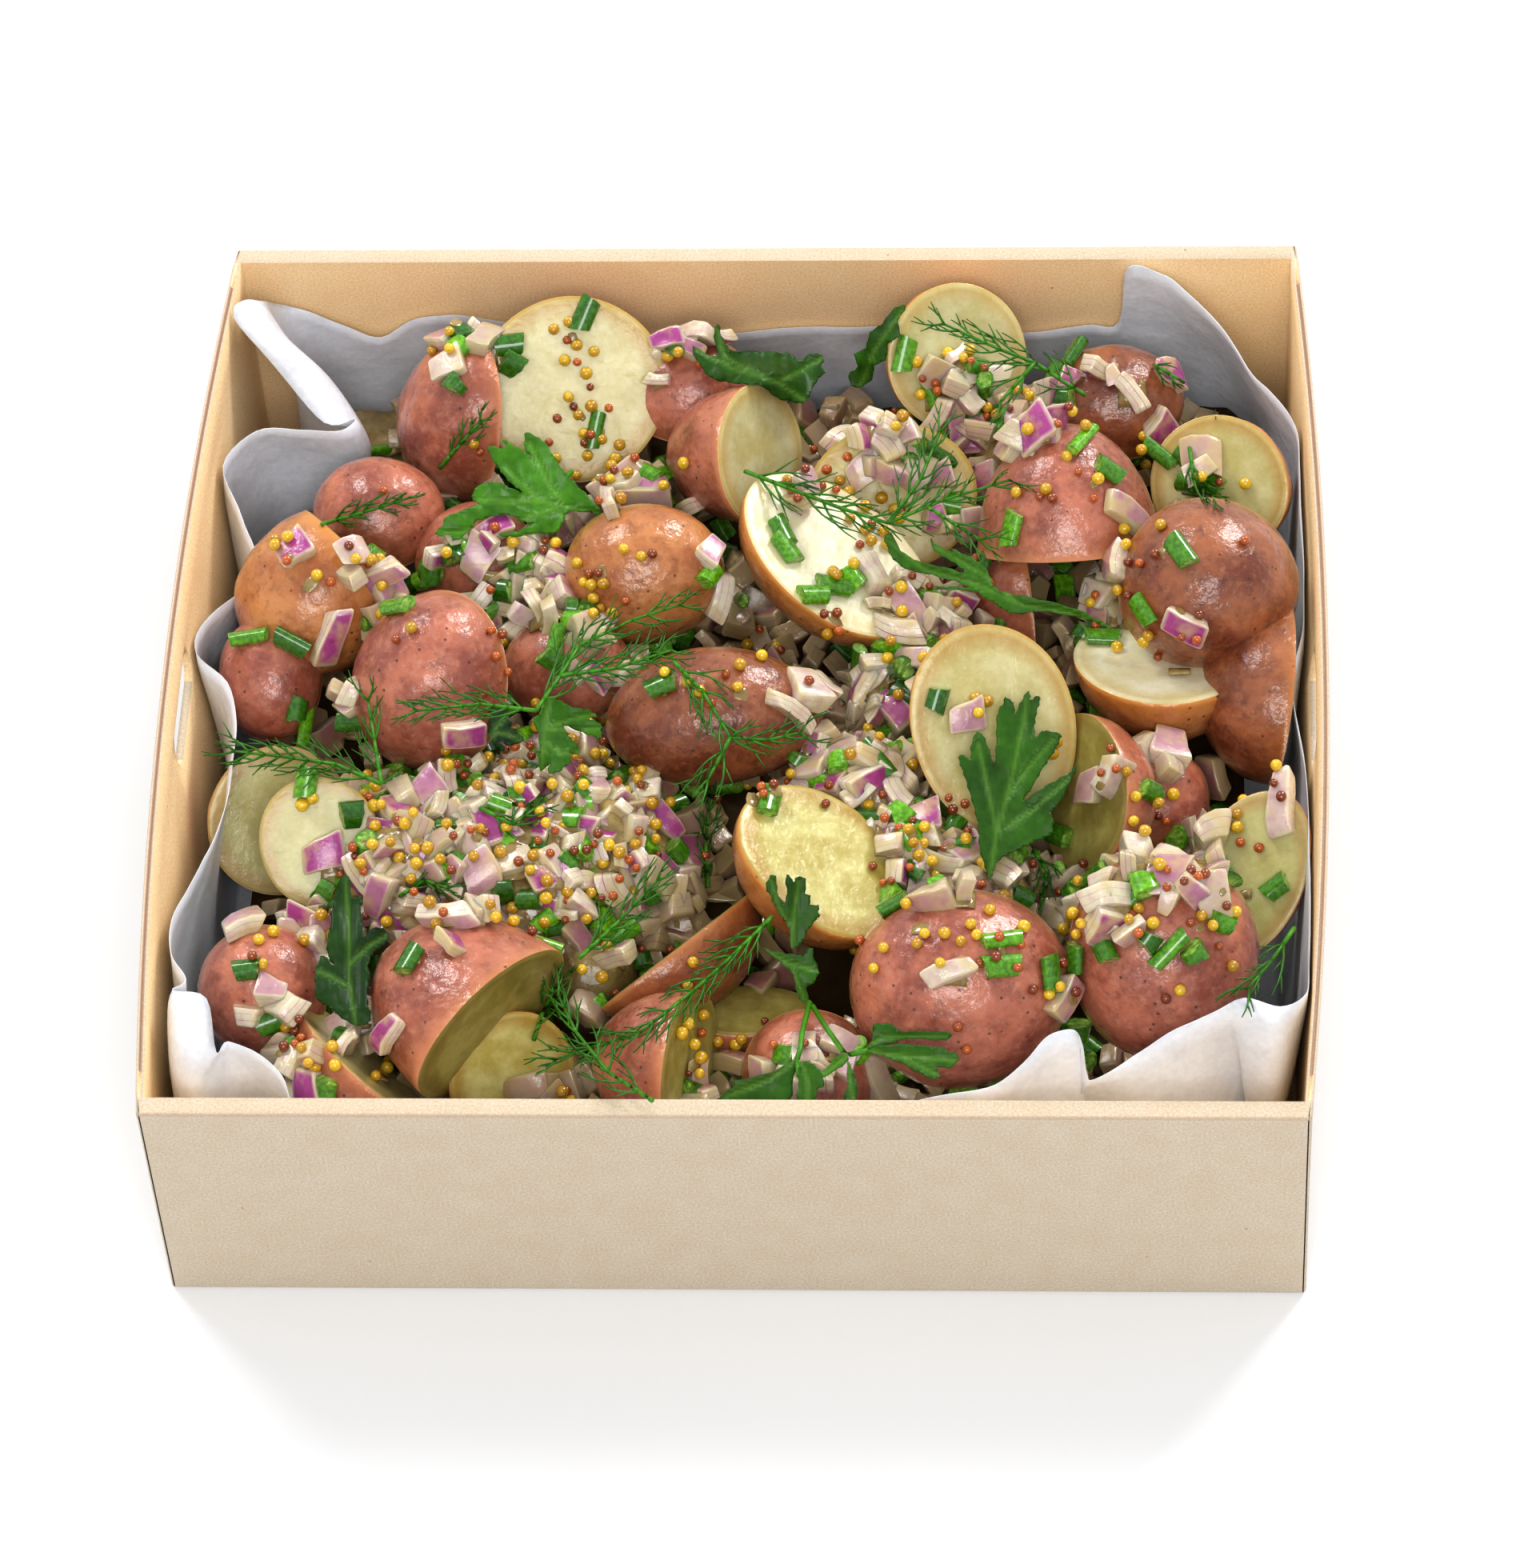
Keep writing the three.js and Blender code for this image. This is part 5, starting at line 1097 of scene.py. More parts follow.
# What the random choices are made from; the onion tones say how violet a die is
loose = {"chiveKinds": (0, 0, 1, 2, 2, 3, 4, 4), "chiveTones": (0.05, 0.15, 0.35, 0.6, 1),
         "onionTones": (0.1, 0.25, 0.45, 0.7, 1, 1), "onionTurns": (0, 90, 90, -90),
         "onionSize": (0.82, 1.28)}
hollows = [(725, 1225), (720, 1290), (300, 1130), (1040, 1170), (1500, 940), (440, 900), (1040, 1250),
           (810, 1250), (1560, 960), (660, 1170), (280, 1100)]
onionClusters = [
    (400, 1310, 45, 12), (340, 1250, 25, 3), (1440, 1110, 50, 12), (1500, 1095, 35, 8), (1400, 1150, 25, 4),
    (1110, 555, 45, 20), (985, 620, 22, 3), (1075, 715, 16, 2), (1185, 640, 26, 6), (480, 720, 50, 14),
    (640, 700, 50, 16), (690, 740, 30, 10), (560, 700, 40, 8), (1230, 510, 50, 16), (1300, 530, 40, 10),
    (1200, 470, 30, 5), (590, 430, 30, 8), (555, 600, 30, 9), (620, 590, 25, 5), (1500, 600, 25, 5),
    (850, 440, 25, 7), (940, 740, 40, 16), (900, 700, 30, 7), (960, 790, 40, 14), (1080, 790, 40, 12),
    (1140, 830, 30, 8), (700, 780, 30, 10), (740, 830, 35, 10), (660, 760, 30, 5), (340, 870, 30, 5),
    (450, 850, 30, 6), (1010, 965, 40, 10), (1080, 960, 30, 8), (1110, 1040, 35, 14), (1130, 1100, 30, 6),
    (1070, 900, 40, 14), (1100, 850, 30, 8), (1420, 940, 30, 4), (1450, 1000, 40, 7), (1500, 1020, 30, 6),
    (1580, 1010, 25, 6), (560, 1110, 30, 8), (690, 1125, 35, 10),
    (800, 1090, 30, 8), (590, 1160, 25, 4), (1340, 730, 40, 5), (1060, 530, 30, 10), (1390, 720, 30, 6),
    (1290, 710, 20, 3), (690, 1370, 20, 4),
    (860, 1335, 20, 5), (910, 1340, 20, 4), (1000, 1330, 30, 6), (1040, 1300, 20, 3), (740, 1235, 15, 2),
    (370, 1165, 40, 8), (460, 690, 30, 6), (770, 620, 30, 8), (790, 590, 20, 4), (1390, 450, 30, 5),
    (1330, 500, 30, 5), (1540, 1010, 25, 4), (1300, 1110, 20, 4), (1330, 1130, 20, 4), (1170, 1140, 25, 4),
    (990, 870, 20, 3), (1020, 910, 30, 6), (620, 1010, 60, 10), (900, 790, 30, 6), (1350, 790, 25, 4),
]


def addLoose(spot, normal, kind, isChive, spread):
    turn = random.uniform(0, 360)
    tilt = [random.gauss(0, spread), random.gauss(0, spread)]
    if isChive:
        kind = random.choice(loose["chiveKinds"])
        matrix = placing(spot, normal, turn, lift["chive"], tilt)
        chives.append((chiveKinds[kind], matrix, (1, random.choice(loose["chiveTones"]))))
    else:
        size = random.uniform(*loose["onionSize"])
        tilt[random.randrange(2)] += random.choice(loose["onionTurns"]) * math.pi / 180
        matrix = placing(spot, normal, turn, lift["onion"], tilt, (size, size, size))
        onions.append((onionKinds[kind], matrix, (random.choice(loose["onionTones"]), random.random())))


def within(x, y, limits):
    return abs(x) <= limits[0] and abs(y) <= limits[1]


def layPiece(x, y, steps, limit, spread, inHeap=True):
    kind = random.randrange(len(onionKinds))
    isChive = random.random() < scatter["chiveShare"]
    radius = laid["chive"][0] if isChive else onionLengths[kind] * laid["onion"][0]
    x, y = rollDown(x, y, steps)
    cell = reliefCell(x, y)
    if not within(x, y, scatter["edge"]) or relief[cell] > limit:
        return
    if inHeap and (not openBed[cell] and random.random() < scatter["skipShare"]
                   or any((Vector((x, y)) - spot).length < scatter["hollowRadius"] for spot in hollowSpots)):
        return
    spot, normal = restOn(x, y, radius, laid["chive" if isChive else "onion"][1])
    addLoose(spot, normal, kind, isChive, spread)


def inCircle(x, y, radius, over=1):
    angle, reach = random.uniform(0, 2 * math.pi), radius * math.sqrt(random.random()) * over
    return x + reach * math.cos(angle), y + reach * math.sin(angle)


hollowSpots = []
for u, v in hollows:
    ray = pixelRay(u, v)
    hollowSpots.append((cameraSpot + ray * ((scatter["hollowTop"] - cameraSpot.z) / ray.z)).xy)
random.seed(11)
halfX, halfY = scatter["gapArea"]
for _ in range(scatter["gaps"]):
    layPiece(random.uniform(-halfX, halfX), random.uniform(-halfY, halfY), scatter["gapSteps"],
             scatter["gapTop"], 0.35)
for centreX, centreY, top, radius in mounds:
    for _ in range(round(math.pi * radius * radius * scatter["perArea"])):
        layPiece(*inCircle(centreX, centreY, radius), random.choice((0, 0, 2)),
                 top + scatter["overMound"], 0.35)
for u, v, spread, count in onionClusters:
    for _ in range(count):
        spot = lookOn(random.gauss(u, spread * 0.6), random.gauss(v, spread * 0.5))[0]
        if spot and relief[reliefCell(spot.x, spot.y)] < spot.z + scatter["overhang"]:
            layPiece(spot.x, spot.y, 1, scatter["clusterTop"], 0.3, False)
# What still shows of the bed, also under the overhangs, is covered but for the hollows
covering = []
for across, down in itertools.product(*(range(*scatter[side]) for side in ("across", "down"))):
    u, v = across + random.uniform(-5, 5), down + random.uniform(-5, 5)
    spot, normal, face = lookOn(u, v)
    if face is None or face < firstBedFace or not within(spot.x, spot.y, scatter["coverEdge"]):
        continue
    cell = reliefCell(spot.x, spot.y)
    under = relief[cell] > spot.z + scatter["overhang"]
    covered = relief[cell] > bareRelief[cell] + 1 and not under
    crowded = any((spot - other).length < scatter["coverGap"] for other in covering)
    inHollow = any(math.hypot(u - hollow[0], v - hollow[1]) < scatter["hollowReach"] for hollow in hollows)
    inCorner = (spot.xy - Vector(bed["openCorner"])).length < bed["openReach"] * 0.8
    if covered or crowded or inHollow or inCorner:
        continue
    covering.append(spot)
    kind = random.randrange(len(onionKinds))
    if not under:
        spot, normal = restOn(spot.x, spot.y, onionLengths[kind] * laid["onion"][0], laid["onion"][1])
    addLoose(spot, normal, kind, random.random() < scatter["chiveShare"], 0.4)
addToFood(joinCopies("onionDice", onions, redOnion()).data)
addToFood(joinCopies("chiveRings", chives, chiveGreen()).data)
foodTree = BVHTree.FromPolygons(food["points"], food["faces"])
print("onion and chives laid", len(onions), len(chives))

# A film of dressing fills the crevices between the laid pieces, a little below their tops
film = {"sink": 0.9, "raised": 1.2, "steepest": 2.6, "thickness": 0.5, "wave": 0.5, "waveSize": 3}


def buildFilm():
    raised = relief - bareRelief > film["raised"]
    blurred = relief.copy()
    for _ in range(2):
        padded = np.pad(blurred, 1, mode="edge")
        beside = padded[:-2, 1:-1] + padded[2:, 1:-1] + padded[1:-1, :-2] + padded[1:-1, 2:]
        blurred = (beside + blurred * 2) / 6
    blurred = np.minimum(blurred, relief)
    bm = bmesh.new()
    made = {}
    for i, j in zip(*np.nonzero(raised)):
        spot = Vector((*reliefSpot(i, j), blurred[i, j] - film["sink"]))
        made[i, j] = bm.verts.new(spot + Vector((0, 0, film["wave"] * noise.noise(spot / film["waveSize"]))))
    for i, j in made:
        four = [made.get(corner) for corner in ((i, j), (i + 1, j), (i + 1, j + 1), (i, j + 1))]
        if None not in four and max(v.co.z for v in four) - min(v.co.z for v in four) < film["steepest"]:
            bm.faces.new(four)
    bmesh.ops.delete(bm, geom=[vert for vert in bm.verts if not vert.link_faces], context="VERTS")
    bmesh.ops.subdivide_edges(bm, edges=bm.edges, cuts=1, use_grid_fill=True, smooth=0.6)
    return toMesh(bm)


filmPiece = addPiece("dressingFilm", buildFilm(), [dressingMaterial])
thicken(filmPiece, film["thickness"], -1)
print("film laid", len(filmPiece.data.polygons))

# Mustard seeds: clusters by photo pixel (u, v, spread, how many), the rest strewn over the heap
seedClusters = [
    (700, 412, 20, 5), (720, 450, 22, 8), (735, 500, 28, 12), (745, 545, 34, 14), (770, 590, 30, 10),
    (690, 560, 20, 5), (610, 400, 22, 9), (560, 430, 16, 5), (590, 560, 16, 4), (345, 680, 26, 12),
    (455, 695, 24, 9), (410, 720, 22, 4), (740, 720, 30, 12), (800, 690, 24, 7), (760, 755, 24, 8),
    (620, 800, 24, 8), (500, 790, 20, 5), (1030, 600, 40, 16), (1100, 640, 50, 18), (1060, 700, 36, 10),
    (1120, 740, 20, 4), (1040, 780, 24, 8), (960, 812, 30, 10), (1360, 590, 30, 9), (1300, 620, 26, 5),
    (1420, 560, 24, 6), (1540, 590, 26, 6), (1400, 660, 20, 4), (1330, 520, 30, 8), (1230, 880, 24, 8),
    (1310, 930, 18, 3), (1200, 1000, 20, 5), (1440, 1010, 30, 10), (1390, 960, 22, 5), (1140, 1040, 30, 14),
    (1110, 1100, 26, 8), (960, 980, 24, 8), (900, 1000, 16, 3), (1150, 1190, 40, 10), (1260, 1180, 40, 14),
    (1310, 1230, 26, 9), (1200, 1290, 30, 4), (1100, 1200, 20, 4), (1480, 1090, 34, 12), (1520, 1150, 28, 8),
    (1420, 1150, 26, 8), (1350, 1150, 20, 7), (1450, 1250, 40, 3), (1530, 1200, 16, 4), (360, 1300, 30, 14),
    (410, 1330, 30, 12), (470, 1340, 22, 6), (320, 1220, 20, 4), (330, 1170, 24, 5), (480, 1000, 30, 12),
    (520, 1060, 40, 16), (600, 1050, 40, 18), (680, 1050, 40, 18), (760, 1080, 40, 16), (700, 1120, 34, 12),
    (560, 960, 26, 8), (640, 950, 30, 12), (740, 940, 34, 12), (800, 970, 30, 10), (820, 1040, 24, 8),
    (540, 1120, 30, 10), (620, 1150, 24, 6), (860, 870, 40, 7), (930, 860, 30, 4), (850, 1200, 30, 6),
    (880, 1290, 40, 14), (960, 1290, 30, 7), (700, 1370, 20, 6), (870, 1340, 20, 5), (440, 1080, 24, 9),
    (390, 1010, 20, 4), (1590, 1000, 20, 4), (1560, 1060, 20, 5), (1440, 800, 24, 6), (1500, 780, 20, 4),
    (1380, 740, 22, 5), (1540, 680, 20, 1), (1160, 470, 30, 9), (1210, 450, 24, 7), (1250, 520, 26, 8),
    (1130, 530, 18, 5), (850, 440, 20, 4), (480, 610, 18, 4), (1200, 760, 16, 2),
]
seedShape = {"radius": {"yellow": 1.27, "brown": 1.0}, "yellowShare": 0.6, "strewn": 200, "share": 0.72,
             "sunk": 0.72, "highest": 72}


# Seeds are round balls, and drops of dressing flat and uneven ones
def ballTemplate(uneven=0, flat=1, seed=0):
    bm = bmesh.new()
    bmesh.ops.create_icosphere(bm, subdivisions=2, radius=1)
    for vert in bm.verts:
        wide = 1 + uneven * noise.noise(vert.co * 1.3 + Vector((seed * 5, 0, 0)))
        vert.co = Vector((vert.co.x * wide, vert.co.y * wide, vert.co.z * flat))
    return template(bm)


seedBall = ballTemplate()
seeds = {"yellow": [], "brown": []}
taken = []


def laySeed(spot, normal):
    if spot is None or normal.z < -0.2 or spot.z > seedShape["highest"]:
        return
    kind = "yellow" if random.random() < seedShape["yellowShare"] else "brown"
    radius = seedShape["radius"][kind] * random.uniform(0.85, 1.12)
    centre = spot + normal * radius * seedShape["sunk"]
    if any((centre - other).length < radius * 1.7 for other in taken):
        return
    taken.append(centre)
    shape = (radius * random.uniform(0.95, 1.08), radius, radius * random.uniform(0.88, 1))
    matrix = placing(centre, normal, random.uniform(0, 360), size=shape)
    seeds[kind].append((seedBall, matrix, (0, random.random())))


random.seed(21)
for u, v, spread, count in seedClusters:
    for _ in range(round(count * seedShape["share"])):
        laySeed(*lookOn(random.gauss(u, spread * 0.55), random.gauss(v, spread * 0.5))[:2])
for _ in range(seedShape["strewn"]):
    centreX, centreY, _, radius = random.choice(mounds)
    laySeed(*dropOn(*inCircle(centreX, centreY, radius, 1.15))[:2])
for kind, copies in seeds.items():
    joinCopies(kind + "MustardSeeds", copies, mustardSeed(kind))
print("seeds laid", len(taken))

# Drops and runs of dressing round the clusters
dropKinds = [ballTemplate(0.35, 0.34, seed) for seed in range(4)]
drops = []
random.seed(31)
for centre in taken:
    if random.random() < 0.14:
        spot, normal, _ = dropOn(centre.x + random.gauss(0, 1.4), centre.y + random.gauss(0, 1.4))
        if spot is not None and abs(spot.z - centre.z) < 3:
            wide = random.uniform(0.7, 1.5)
            size = (wide * random.uniform(0.8, 1.5), wide, wide * 0.45)
            drop = random.choice(dropKinds)
            drops.append((drop, placing(spot, normal, random.uniform(0, 360), size=size), (0, 0)))
joinCopies("dressingDrops", drops, dressingMaterial)
print("dressing run", len(drops))


# A herb's resting plane, through its node: its slope, to multiply a spot with, and its height
def restingSurface(name):
    points = np.array([vert.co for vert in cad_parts[name].data.vertices]) / mm
    terms = np.c_[np.ones(len(points)), points[:, 0], points[:, 1]]
    plane = np.linalg.lstsq(terms, points[:, 2], rcond=None)[0]
    return Vector((plane[1], plane[2], -1)), plane[0]


# Leaves as read from the photo: crop corner and scale, then the tone, outline and ribs of each part
# in crop pixels, and the stems of two leaves in photo pixels
leafReadings = {
    "parsley_01": {"corner": (860, 390), "scale": 5.407, "parts": [
        {"tone": 0.25, "outline": [
            (165, 450), (60, 330), (30, 225), (100, 270), (200, 300), (180, 200), (180, 110), (210, 85),
            (225, 160), (260, 220), (300, 260), (450, 265), (600, 275), (680, 280), (720, 310), (760, 325),
            (820, 285), (890, 285), (920, 320), (900, 370), (930, 410), (880, 450), (840, 520), (780, 615),
            (700, 605), (620, 590), (560, 550), (500, 500), (400, 490), (300, 480)],
         "ribs": [[(790, 600), (600, 470), (300, 380), (60, 250)], [(480, 430), (250, 300), (200, 120)],
                  [(600, 470), (760, 400), (900, 310)]]}]},
    "parsley_02": {"corner": (530, 530), "scale": 6.272, "parts": [
        {"tone": 0.95, "outline": [
            (1390, 700), (1290, 570), (1200, 480), (1110, 390), (1050, 310), (980, 190), (900, 110),
            (800, 65), (790, 130), (790, 200), (840, 250), (740, 190), (620, 120), (640, 190), (505, 175),
            (530, 260), (590, 350), (640, 420), (720, 500), (780, 540), (700, 510), (600, 465), (500, 460),
            (420, 490), (380, 550), (385, 600), (430, 625), (370, 650), (290, 680), (170, 730), (140, 800),
            (80, 860), (150, 880), (215, 870), (225, 915), (300, 890), (370, 820), (400, 770), (480, 740),
            (600, 715), (700, 720), (760, 760), (840, 780), (870, 765), (760, 830), (680, 850), (580, 860),
            (640, 885), (760, 880), (870, 855), (960, 860), (1030, 850), (1080, 790), (1130, 690),
            (1250, 690)],
         "ribs": [[(1390, 700), (940, 610), (430, 600)], [(1060, 640), (900, 600), (640, 340)],
                  [(1100, 650), (980, 480), (830, 150)], [(1060, 640), (700, 780), (150, 860)]]}]},
    "parsley_03": {"corner": (1060, 375), "scale": 4, "parts": [
        {"tone": 0.35, "outline": [
            (40, 440), (0, 380), (50, 330), (30, 270), (90, 240), (110, 160), (170, 120), (230, 40),
            (290, 30), (250, 110), (260, 180), (200, 220), (190, 300), (130, 330), (120, 400)],
         "ribs": [[(60, 430), (140, 240), (270, 50)]]}]},
    "parsley_04": {"corner": (1080, 640), "scale": 4.356, "parts": [
        {"tone": 0.75, "outline": [
            (1400, 665), (1290, 595), (1160, 530), (1000, 485), (860, 455), (740, 430), (700, 390),
            (680, 340), (640, 280), (560, 235), (480, 200), (475, 215), (380, 170), (368, 140), (370, 190),
            (420, 240), (500, 280), (545, 330), (440, 300), (320, 275), (200, 210), (150, 110), (110, 140),
            (130, 200), (160, 260), (230, 310), (330, 335), (450, 365), (575, 410), (480, 405), (370, 408),
            (480, 425), (590, 430), (680, 480), (760, 530), (800, 550), (870, 555), (960, 540), (1100, 560),
            (1220, 590), (1320, 630), (1390, 668)],
         "ribs": [[(1400, 665), (1100, 545), (860, 505), (640, 400), (330, 310), (140, 160)],
                  [(860, 505), (640, 330), (390, 190)]]}]},
    "parsley_05": {"corner": (600, 860), "scale": 8.711, "parts": [
        {"tone": 0.7, "outline": [
            (640, 290), (700, 170), (740, 90), (800, 110), (900, 150), (960, 190), (1100, 225), (1200, 245),
            (1270, 300), (1250, 320), (1180, 325), (1280, 370), (1340, 435), (1310, 450), (1330, 550),
            (1250, 530), (1150, 500), (1000, 440), (905, 400), (920, 440), (960, 520), (1030, 590),
            (1070, 650), (1075, 725), (980, 710), (1000, 800), (930, 850), (860, 910), (765, 935),
            (740, 900), (760, 820), (700, 880), (670, 905), (640, 860), (630, 780), (660, 700), (640, 600),
            (640, 500), (600, 420), (580, 330)],
         "ribs": [[(680, 890), (700, 600), (720, 300), (760, 110)], [(700, 600), (900, 720), (1050, 690)],
                  [(710, 450), (1000, 330), (1240, 280)], [(700, 470), (1000, 470), (1300, 440)]]},
        {"tone": 0.15, "outline": [
            (110, 230), (100, 330), (90, 440), (110, 550), (160, 620), (260, 690), (270, 650), (210, 580),
            (330, 630), (470, 570), (400, 470), (330, 420), (350, 390), (310, 320), (400, 260), (330, 200),
            (200, 180)],
         "ribs": [[(120, 560), (180, 420), (340, 240)], [(150, 480), (300, 500), (440, 560)]]}]},
    "parsley_06": {"corner": (1180, 850), "scale": 6.03, "parts": [
        {"tone": 0.45, "outline": [
            (350, 1500), (320, 1440), (290, 1350), (265, 1250), (262, 1130), (245, 1040), (220, 940),
            (190, 840), (160, 740), (130, 660), (112, 600), (120, 565), (160, 570), (205, 600), (200, 530),
            (215, 460), (250, 388), (295, 420), (330, 500), (360, 590), (380, 660), (388, 560), (395, 440),
            (395, 320), (410, 230), (450, 170), (460, 125), (510, 160), (530, 200), (532, 270), (560, 200),
            (595, 140), (628, 85), (650, 110), (650, 150), (700, 120), (722, 130), (720, 170), (700, 230),
            (690, 300), (680, 360), (690, 430), (740, 385), (790, 385), (880, 410), (870, 460), (840, 520),
            (790, 600), (730, 690), (680, 780), (600, 905), (700, 840), (800, 780), (900, 725), (960, 690),
            (985, 640), (998, 670), (960, 740), (910, 850), (860, 940), (805, 1000), (825, 1050),
            (818, 1120), (800, 1170), (700, 1210), (640, 1240), (540, 1290), (440, 1335), (390, 1390),
            (370, 1450)],
         "ribs": [[(350, 1480), (400, 1150), (520, 700), (600, 330), (620, 130)],
                  [(400, 1150), (330, 800), (260, 480)], [(480, 1110), (700, 950), (940, 740)],
                  [(470, 900), (640, 650), (820, 450)]]}]},
    "parsley_07": {"corner": (380, 1080), "scale": 7.464, "parts": [
        {"tone": 0.12, "outline": [
            (375, 95), (330, 150), (300, 270), (270, 400), (240, 600), (215, 750), (230, 870), (280, 950),
            (180, 855), (130, 920), (100, 1040), (110, 1150), (105, 1230), (180, 1310), (270, 1360),
            (350, 1440), (500, 1510), (600, 1480), (625, 1400), (600, 1320), (590, 1200), (610, 1060),
            (600, 940), (640, 840), (740, 760), (800, 680), (740, 600), (640, 600), (560, 680), (550, 560),
            (530, 400), (550, 320), (520, 300), (440, 310), (435, 200), (420, 120)],
         "ribs": [[(480, 1480), (420, 1050), (420, 600), (385, 130)], [(420, 950), (600, 760), (760, 670)],
                  [(420, 1150), (250, 1050), (140, 1000)]]}]},
    "parsley_08": {"corner": (890, 1080), "scale": 4.9, "parts": [
        {"tone": 0.38, "outline": [
            (370, 65), (340, 100), (330, 150), (360, 200), (400, 290), (450, 350), (480, 430), (485, 520),
            (550, 480), (590, 400), (640, 340), (660, 320), (650, 290), (655, 250), (600, 250), (605, 190),
            (570, 180), (575, 90), (520, 80), (500, 110), (470, 65), (450, 90), (460, 180), (440, 240),
            (400, 170), (395, 90)],
         "ribs": [[(490, 500), (500, 300), (530, 110)], [(480, 400), (400, 240), (365, 100)]]},
        {"tone": 0.42, "outline": [
            (300, 510), (380, 570), (460, 640), (500, 680), (510, 740), (530, 820), (570, 855), (590, 840),
            (580, 740), (610, 740), (650, 680), (650, 640), (620, 560), (620, 515), (590, 520), (560, 560),
            (540, 560), (470, 550), (400, 540)],
         "ribs": [[(310, 520), (480, 610), (570, 840)], [(480, 610), (640, 650)]]}]},
    "parsley_09": {"corner": (890, 1080), "scale": 4.9, "parts": [
        {"tone": 0.45, "outline": [
            (515, 1195), (400, 1260), (270, 1300), (120, 1335), (140, 1355), (75, 1400), (60, 1455),
            (300, 1455), (470, 1455), (500, 1300)],
         "ribs": [[(515, 1200), (350, 1320), (90, 1420)]]},
        {"tone": 0.5, "outline": [
            (540, 1210), (600, 1220), (640, 1240), (690, 1340), (640, 1390), (630, 1450), (530, 1450),
            (530, 1330)],
         "ribs": [[(550, 1215), (590, 1330), (585, 1440)]]},
        {"tone": 0.85, "outline": [
            (830, 1160), (760, 1180), (700, 1250), (600, 1310), (530, 1335), (560, 1360), (640, 1330),
            (730, 1280), (820, 1220)],
         "ribs": [[(830, 1170), (720, 1260), (560, 1345)]]},
        {"tone": 0.5, "outline": [
            (850, 1160), (930, 1130), (980, 1080), (985, 1000), (1010, 975), (1110, 985), (1150, 1020),
            (1300, 1025), (1460, 1035), (1435, 1080), (1330, 1075), (1200, 1070), (1100, 1100),
            (1000, 1130)],
         "ribs": [[(860, 1155), (1050, 1060), (1430, 1050)]]},
        {"tone": 0.55, "outline": [
            (950, 1145), (1050, 1110), (1200, 1105), (1320, 1115), (1420, 1125), (1430, 1145), (1480, 1155),
            (1515, 1195), (1450, 1250), (1370, 1240), (1400, 1305), (1320, 1310), (1200, 1240),
            (1080, 1190)],
         "ribs": [[(950, 1145), (1200, 1180), (1490, 1200)], [(1150, 1170), (1380, 1290)]]},
        {"tone": 0.4, "outline": [
            (830, 1210), (860, 1260), (890, 1350), (880, 1450), (810, 1450), (830, 1330)],
         "ribs": [[(835, 1215), (860, 1430)]]}]},
}
stemReadings = {
    "parsley_02": [[(679, 624), (697, 606), (715, 589)]],
    "parsley_09": [[(1012, 1253), (1003, 1290), (1000, 1313), (996, 1325)],
                   [(1016, 1258), (1035, 1288), (1053, 1313), (1064, 1318)],
                   [(1064, 1318), (1085, 1313)], [(996, 1325), (999, 1345)]],
}
leafShape = {"pitch": 4, "clear": 0.7, "above": 0.9, "thickness": 0.25, "bridge": 5, "smooth": 70,
             "ripple": 0.9, "rippleSize": 48, "crumple": 0.16, "crumpleSize": 17, "quilt": 0.2,
             "ribWidth": 3.4, "quiltWidth": 14, "teeth": (-0.4, 1.3, -0.7), "toneWave": 0.25,
             "toneSize": 60, "stemRadius": 0.55, "stemClear": 1.6, "stemLift": 1.4}


# How far along a pixel's ray the resting plane lies, and the food less the clearance
def seenDepth(u, v, surface=None, clear=0):
    ray = pixelRay(u, v)
    onSurface = farAway
    if surface:
        slope, height = surface
        onSurface = -(cameraSpot.dot(slope) + height) / ray.dot(slope)
    spot = foodTree.ray_cast(cameraSpot, ray)[0]
    onFood = (spot - cameraSpot).length - clear if spot else farAway
    return ray, onSurface, onFood


def fromPolyline(spot, line):
    near = farAway
    for start, end in zip(line, line[1:]):
        run = end - start
        share = max(0, min(1, (spot - start).dot(run) / run.length_squared))
        near = min(near, (spot - start - run * share).length)
    return near


# An outline rounded between its points, with small teeth on the outer side
def toothed(outline):
    count = len(outline)
    winding = math.copysign(1, sum(outline[index - 1].cross(outline[index]) for index in range(count)))
    rounded = []
    for index in range(count):
        four = [outline[(index + shift) % count].to_3d() for shift in (-1, 0, 1, 2)]
        out = (four[2] - four[1]).orthogonal().normalized() * winding
        rounded += [curveThrough(*four, step / 3) + out * tooth
                    for step, tooth in enumerate(leafShape["teeth"])]
    return rounded


# A flat sheet with that outline, divided into small squares and triangles
def dividedSheet(outline):
    sheet = bmesh.new()
    sheet.faces.new([sheet.verts.new(point) for point in outline])
    for axis, way in enumerate((Vector((1, 0, 0)), Vector((0, 1, 0)))):
        reach = [point[axis] for point in outline]
        place, end = min(reach) + leafShape["pitch"], max(reach)
        while place < end:
            splitAt(sheet, way * place, way)
            place += leafShape["pitch"]
    bmesh.ops.triangulate(sheet, faces=sheet.faces)
    sheet.verts.index_update()
    return sheet


# The leaf bridges the gaps in the food under it, and is smoothed as far as the food lets it
def drapedReach(reach, limit, links):
    reach = np.minimum(reach, limit)
    degree = np.bincount(links.ravel(), minlength=len(reach))
    sides = (links[:, 0], links[:, 1]), (links[:, 1], links[:, 0])
    for _ in range(leafShape["bridge"]):
        nearer = limit.copy()
        for one, other in sides:
            np.minimum.at(nearer, one, limit[other])
        limit = nearer
    reach = np.minimum(reach, limit)
    for _ in range(leafShape["smooth"]):
        total = np.zeros(len(reach))
        for one, other in sides:
            np.add.at(total, one, reach[other])
        reach = np.minimum(total / degree, limit)
    return reach


